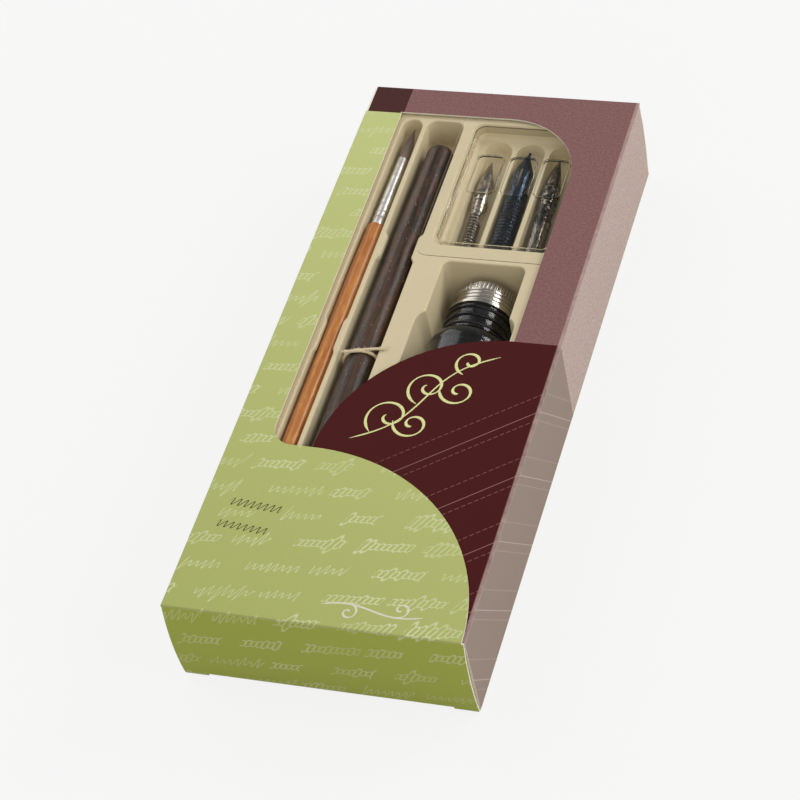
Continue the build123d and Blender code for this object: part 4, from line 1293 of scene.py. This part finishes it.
# ---- twine ----
@dataclass
class TwineTie:
    """Three-ply twine: one tight turn round the barrel and two frayed ends.

    Sizes are in millimetres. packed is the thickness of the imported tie, and lay the
    length in which a ply goes once round.
    """

    turns: int = 1
    turn_steps: int = 36
    pitch: float = 0.4
    from_top: float = 85.1
    slant: float = math.radians(10.0)
    packed: float = 0.66
    twine: float = 0.96
    lay: float = 1.8
    plies: int = 3
    ply_radius: float = 0.25
    ply_offset: float = 0.24
    sides: int = 8
    start_reach: float = 3.9
    end_reach: float = 7.2
    fibres: int = 26
    fibre_radius: float = 0.06
    fibre_thinning: float = 0.03
    fuzz: int = 110
    fuzz_radius: float = 0.045
    fuzz_thinning: float = 0.025
    seed: int = 3
    finish: Strands = Strands("twine_fibre", srgb(238, 220, 182), srgb(230, 212, 174),
                              -0.01, 0.0, 0.7, 0.8)

    def route(self) -> list[Vector]:
        """Lays the twine once round the barrel, with its two ends straight.

        Returns:
            Points along the twine's middle line, in millimetres.
        """
        low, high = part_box("pen_holder_barrel")
        centre = (low + high) / (2 * MM)
        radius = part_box("pen_holder_tie")[1].z / MM - self.packed / 2 - centre.z
        origin = Vector((centre.x, high.y / MM - self.from_top, centre.z))
        turned = Matrix.Rotation(self.slant, 3, "Z")
        rise = self.pitch / TURN
        points = []
        steps = self.turn_steps * self.turns
        for step in range(steps + 1):
            angle = TURN * self.turns * step / steps
            local = Vector((radius * math.sin(angle), rise * (angle - math.pi * self.turns),
                            radius * math.cos(angle)))
            points.append(origin + turned @ local)
        ahead = turned @ Vector((radius, rise, 0.0)).normalized()
        shares = (0.2, 0.4, 0.6, 0.8, 1.0)
        before = [points[0] - ahead * self.start_reach * share for share in reversed(shares)]
        after = [points[-1] + ahead * self.end_reach * share for share in shares]
        return before + points + after

    def plaited(self, route: list[Vector]) -> list[Path]:
        """Winds the plies round the route.

        Args:
            route: The twine's middle line, in millimetres.

        Returns:
            One path for each ply, in metres.
        """
        fine = []
        for first, second in zip(route, route[1:]):
            fine += [first.lerp(second, part / 3) for part in range(3)]
        fine.append(route[-1])
        run = 0.0
        aside = Vector(FAR)
        paths: list[Path] = [[] for _ in range(self.plies)]
        for place, spot in enumerate(fine):
            ahead = (fine[min(place + 1, len(fine) - 1)] - fine[max(place - 1, 0)]).normalized()
            aside = (aside - ahead * aside.dot(ahead)).normalized()
            over = ahead.cross(aside)
            if place:
                run += (spot - fine[place - 1]).length
            for ply, path in enumerate(paths):
                turn = TURN * (run / self.lay + ply / self.plies)
                offset = (aside * math.cos(turn) + over * math.sin(turn)) * self.twine
                path.append(((spot + offset * self.ply_offset) * MM,
                             self.twine * self.ply_radius * MM))
        return paths

    def frayed(self, route: list[Vector]) -> list[Path]:
        """Fans loose fibres out of both ends of the route.

        Args:
            route: The twine's middle line, in millimetres.

        Returns:
            One path for each fibre, in metres.
        """
        chance = random.Random(self.seed)
        paths = []
        for end, inner in ((route[0], route[2]), (route[-1], route[-3])):
            away = (end - inner).normalized()
            for _ in range(self.fibres):
                start = inner.lerp(end, chance.random())
                spread = Vector((chance.uniform(-0.5, 0.5), chance.uniform(-1.6, 1.6),
                                 chance.uniform(-0.2, 0.6)))
                reach = chance.uniform(0.9, 2.3)
                path = []
                for step in range(5):
                    share = step / 4
                    spot = start + away * reach * share + spread * 0.55 * share ** 1.6
                    radius = self.fibre_radius - self.fibre_thinning * share
                    path.append((spot * MM, radius * MM))
                paths.append(path)
        return paths

    def fuzzed(self, route: list[Vector]) -> list[Path]:
        """Stands short fibres off the twine all along the route.

        Args:
            route: The twine's middle line, in millimetres.

        Returns:
            One path for each fibre, in metres.
        """
        chance = random.Random(self.seed + 1)
        low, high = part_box("pen_holder_barrel")
        axis_x, axis_z = (low.x + high.x) / (2 * MM), (low.z + high.z) / (2 * MM)
        paths = []
        for _ in range(self.fuzz):
            place = chance.randrange(1, len(route) - 1)
            spot = route[place]
            ahead = (route[place + 1] - route[place - 1]).normalized()
            out = Vector((spot.x - axis_x, 0.0, spot.z - axis_z)).normalized()
            lean = ahead * chance.uniform(-0.7, 0.7) + Vector((0, chance.uniform(-0.8, 0.8), 0))
            root = spot + out * self.twine * 0.3
            path = []
            for step in range(4):
                share = step / 3
                radius = self.fuzz_radius - self.fuzz_thinning * share
                path.append(((root + (lean + out * 0.35) * share) * MM, radius * MM))
            paths.append(path)
        return paths

    def dress(self) -> bpy.types.Object:
        """Winds the twine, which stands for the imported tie.

        Returns:
            The twine piece.
        """
        route = self.route()
        paths = self.plaited(route) + self.frayed(route) + self.fuzzed(route)
        mesh = tubes_mesh("twine_tie", paths, self.sides)
        piece = as_piece("twine_tie", mesh, self.finish, "pack")
        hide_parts("pen_holder_tie")
        return piece


# ---- bottle ----
@dataclass
class InkBottle:
    """Glass, ink, cap and liner."""

    glass: BottleGlass = BottleGlass("bottle_glass")
    ink: Ink = Ink("ink_black")
    cap: Metal = Metal("cap_aluminium", srgb(184, 179, 170), srgb(138, 132, 122), 0.22,
                       cloud_scale=150.0, marks=0.12)
    liner: FormedPlastic = FormedPlastic("liner_foam", srgb(226, 226, 220))

    def dress(self, nodes: Nodes) -> None:
        """Finishes the bottle."""
        dress_nodes(nodes, {"bottle_glass": self.glass, "bottle_ink": self.ink,
                            "bottle_cap": self.cap, "cap_liner": self.liner})


# ---- studio ----
@dataclass(frozen=True)
class Lamp:
    """A soft lamp that looks at the box, in metres and watts."""

    name: str
    place: tuple[float, float, float]
    size: tuple[float, float]
    power: float

    def hang(self) -> None:
        """Hangs the lamp."""
        data = bpy.data.lights.new(self.name, "AREA")
        data.shape = "RECTANGLE"
        data.size, data.size_y = self.size
        data.energy = self.power
        lamp = bpy.data.objects.new(self.name, data)
        bpy.context.scene.collection.objects.link(lamp)
        turn = (-Vector(self.place)).to_track_quat("-Z", "Y").to_matrix().to_4x4()
        lamp.matrix_world = Matrix.Translation(self.place) @ turn


@dataclass
class Studio:
    """Pale floor, soft lamps and the camera at the photograph's angle, in metres."""

    lens: float = 122.5
    sensor: float = 36.0
    clip: float = 0.01
    camera_place: tuple[float, float, float] = (0.22065, -0.46916, 0.5506)
    right: Direction = (0.94822, 0.27141, -0.16496)
    down: Direction = (0.09450, -0.73696, -0.66930)
    ahead: Direction = (-0.30323, 0.61905, -0.72445)
    floor_size: float = 6.0
    floor_drop: float = 0.0001
    floor_paint: FloorPaint = FloorPaint("floor_pale", srgb(205, 204, 200), 0.84)
    world_colour: Colour = srgb(246, 246, 246)
    world_strength: float = 0.46
    lamps: tuple[Lamp, ...] = (
        Lamp("key", (-1.2, 0.72, 0.96), (1.5, 1.5), 12.0),
        Lamp("rim", (0.9, 0.9, 0.8), (0.6, 0.45), 6.5),
        Lamp("fill", (1.25, -0.1, 0.55), (0.8, 0.8), 5.0),
        Lamp("front", (0.3, -1.2, 0.8), (1.2, 1.2), 4.0),
    )

    def camera(self) -> None:
        """Places the camera."""
        data = bpy.data.cameras.new("camera")
        data.lens = self.lens
        data.sensor_width = self.sensor
        data.clip_start = self.clip
        camera = bpy.data.objects.new("camera", data)
        bpy.context.scene.collection.objects.link(camera)
        turn = Matrix((Vector(self.right), -Vector(self.down), -Vector(self.ahead))).transposed()
        camera.matrix_world = Matrix.Translation(self.camera_place) @ turn.to_4x4()
        bpy.context.scene.camera = camera

    def floor(self) -> None:
        """Lays the floor."""
        shape = bmesh.new()
        bmesh.ops.create_grid(shape, x_segments=1, y_segments=1, size=self.floor_size / 2)
        bmesh.ops.translate(shape, verts=shape.verts, vec=(0, 0, -self.floor_drop))
        mesh = bpy.data.meshes.new("floor")
        shape.to_mesh(mesh)
        shape.free()
        floor = bpy.data.objects.new("floor", mesh)
        bpy.context.scene.collection.objects.link(floor)
        mesh.materials.append(self.floor_paint.material())

    def build(self) -> None:
        """Sets the floor, the world, the lamps and the camera."""
        scene = bpy.context.scene
        scene.view_settings.view_transform = "Standard"
        world = bpy.data.worlds.new("studio")
        world.use_nodes = True
        background = world.node_tree.nodes["Background"]
        background.inputs["Color"].default_value = (*self.world_colour, 1.0)
        background.inputs["Strength"].default_value = self.world_strength
        scene.world = world
        self.floor()
        for lamp in self.lamps:
            lamp.hang()
        self.camera()
        LOG.info("studio set")


def main() -> None:
    """Builds and dresses the set in order."""
    logging.basicConfig(level=logging.INFO, format="%(name)s: %(message)s")
    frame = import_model()
    nodes = frame["nodes"]
    Carton().dress(nodes)
    TrayAndCover().dress(nodes)
    Nibs().dress(nodes)
    PenHolder().dress(nodes)
    Brush().dress(nodes)
    TwineTie().dress()
    InkBottle().dress(nodes)
    Studio().build()


if __name__ == "__main__":
    main()
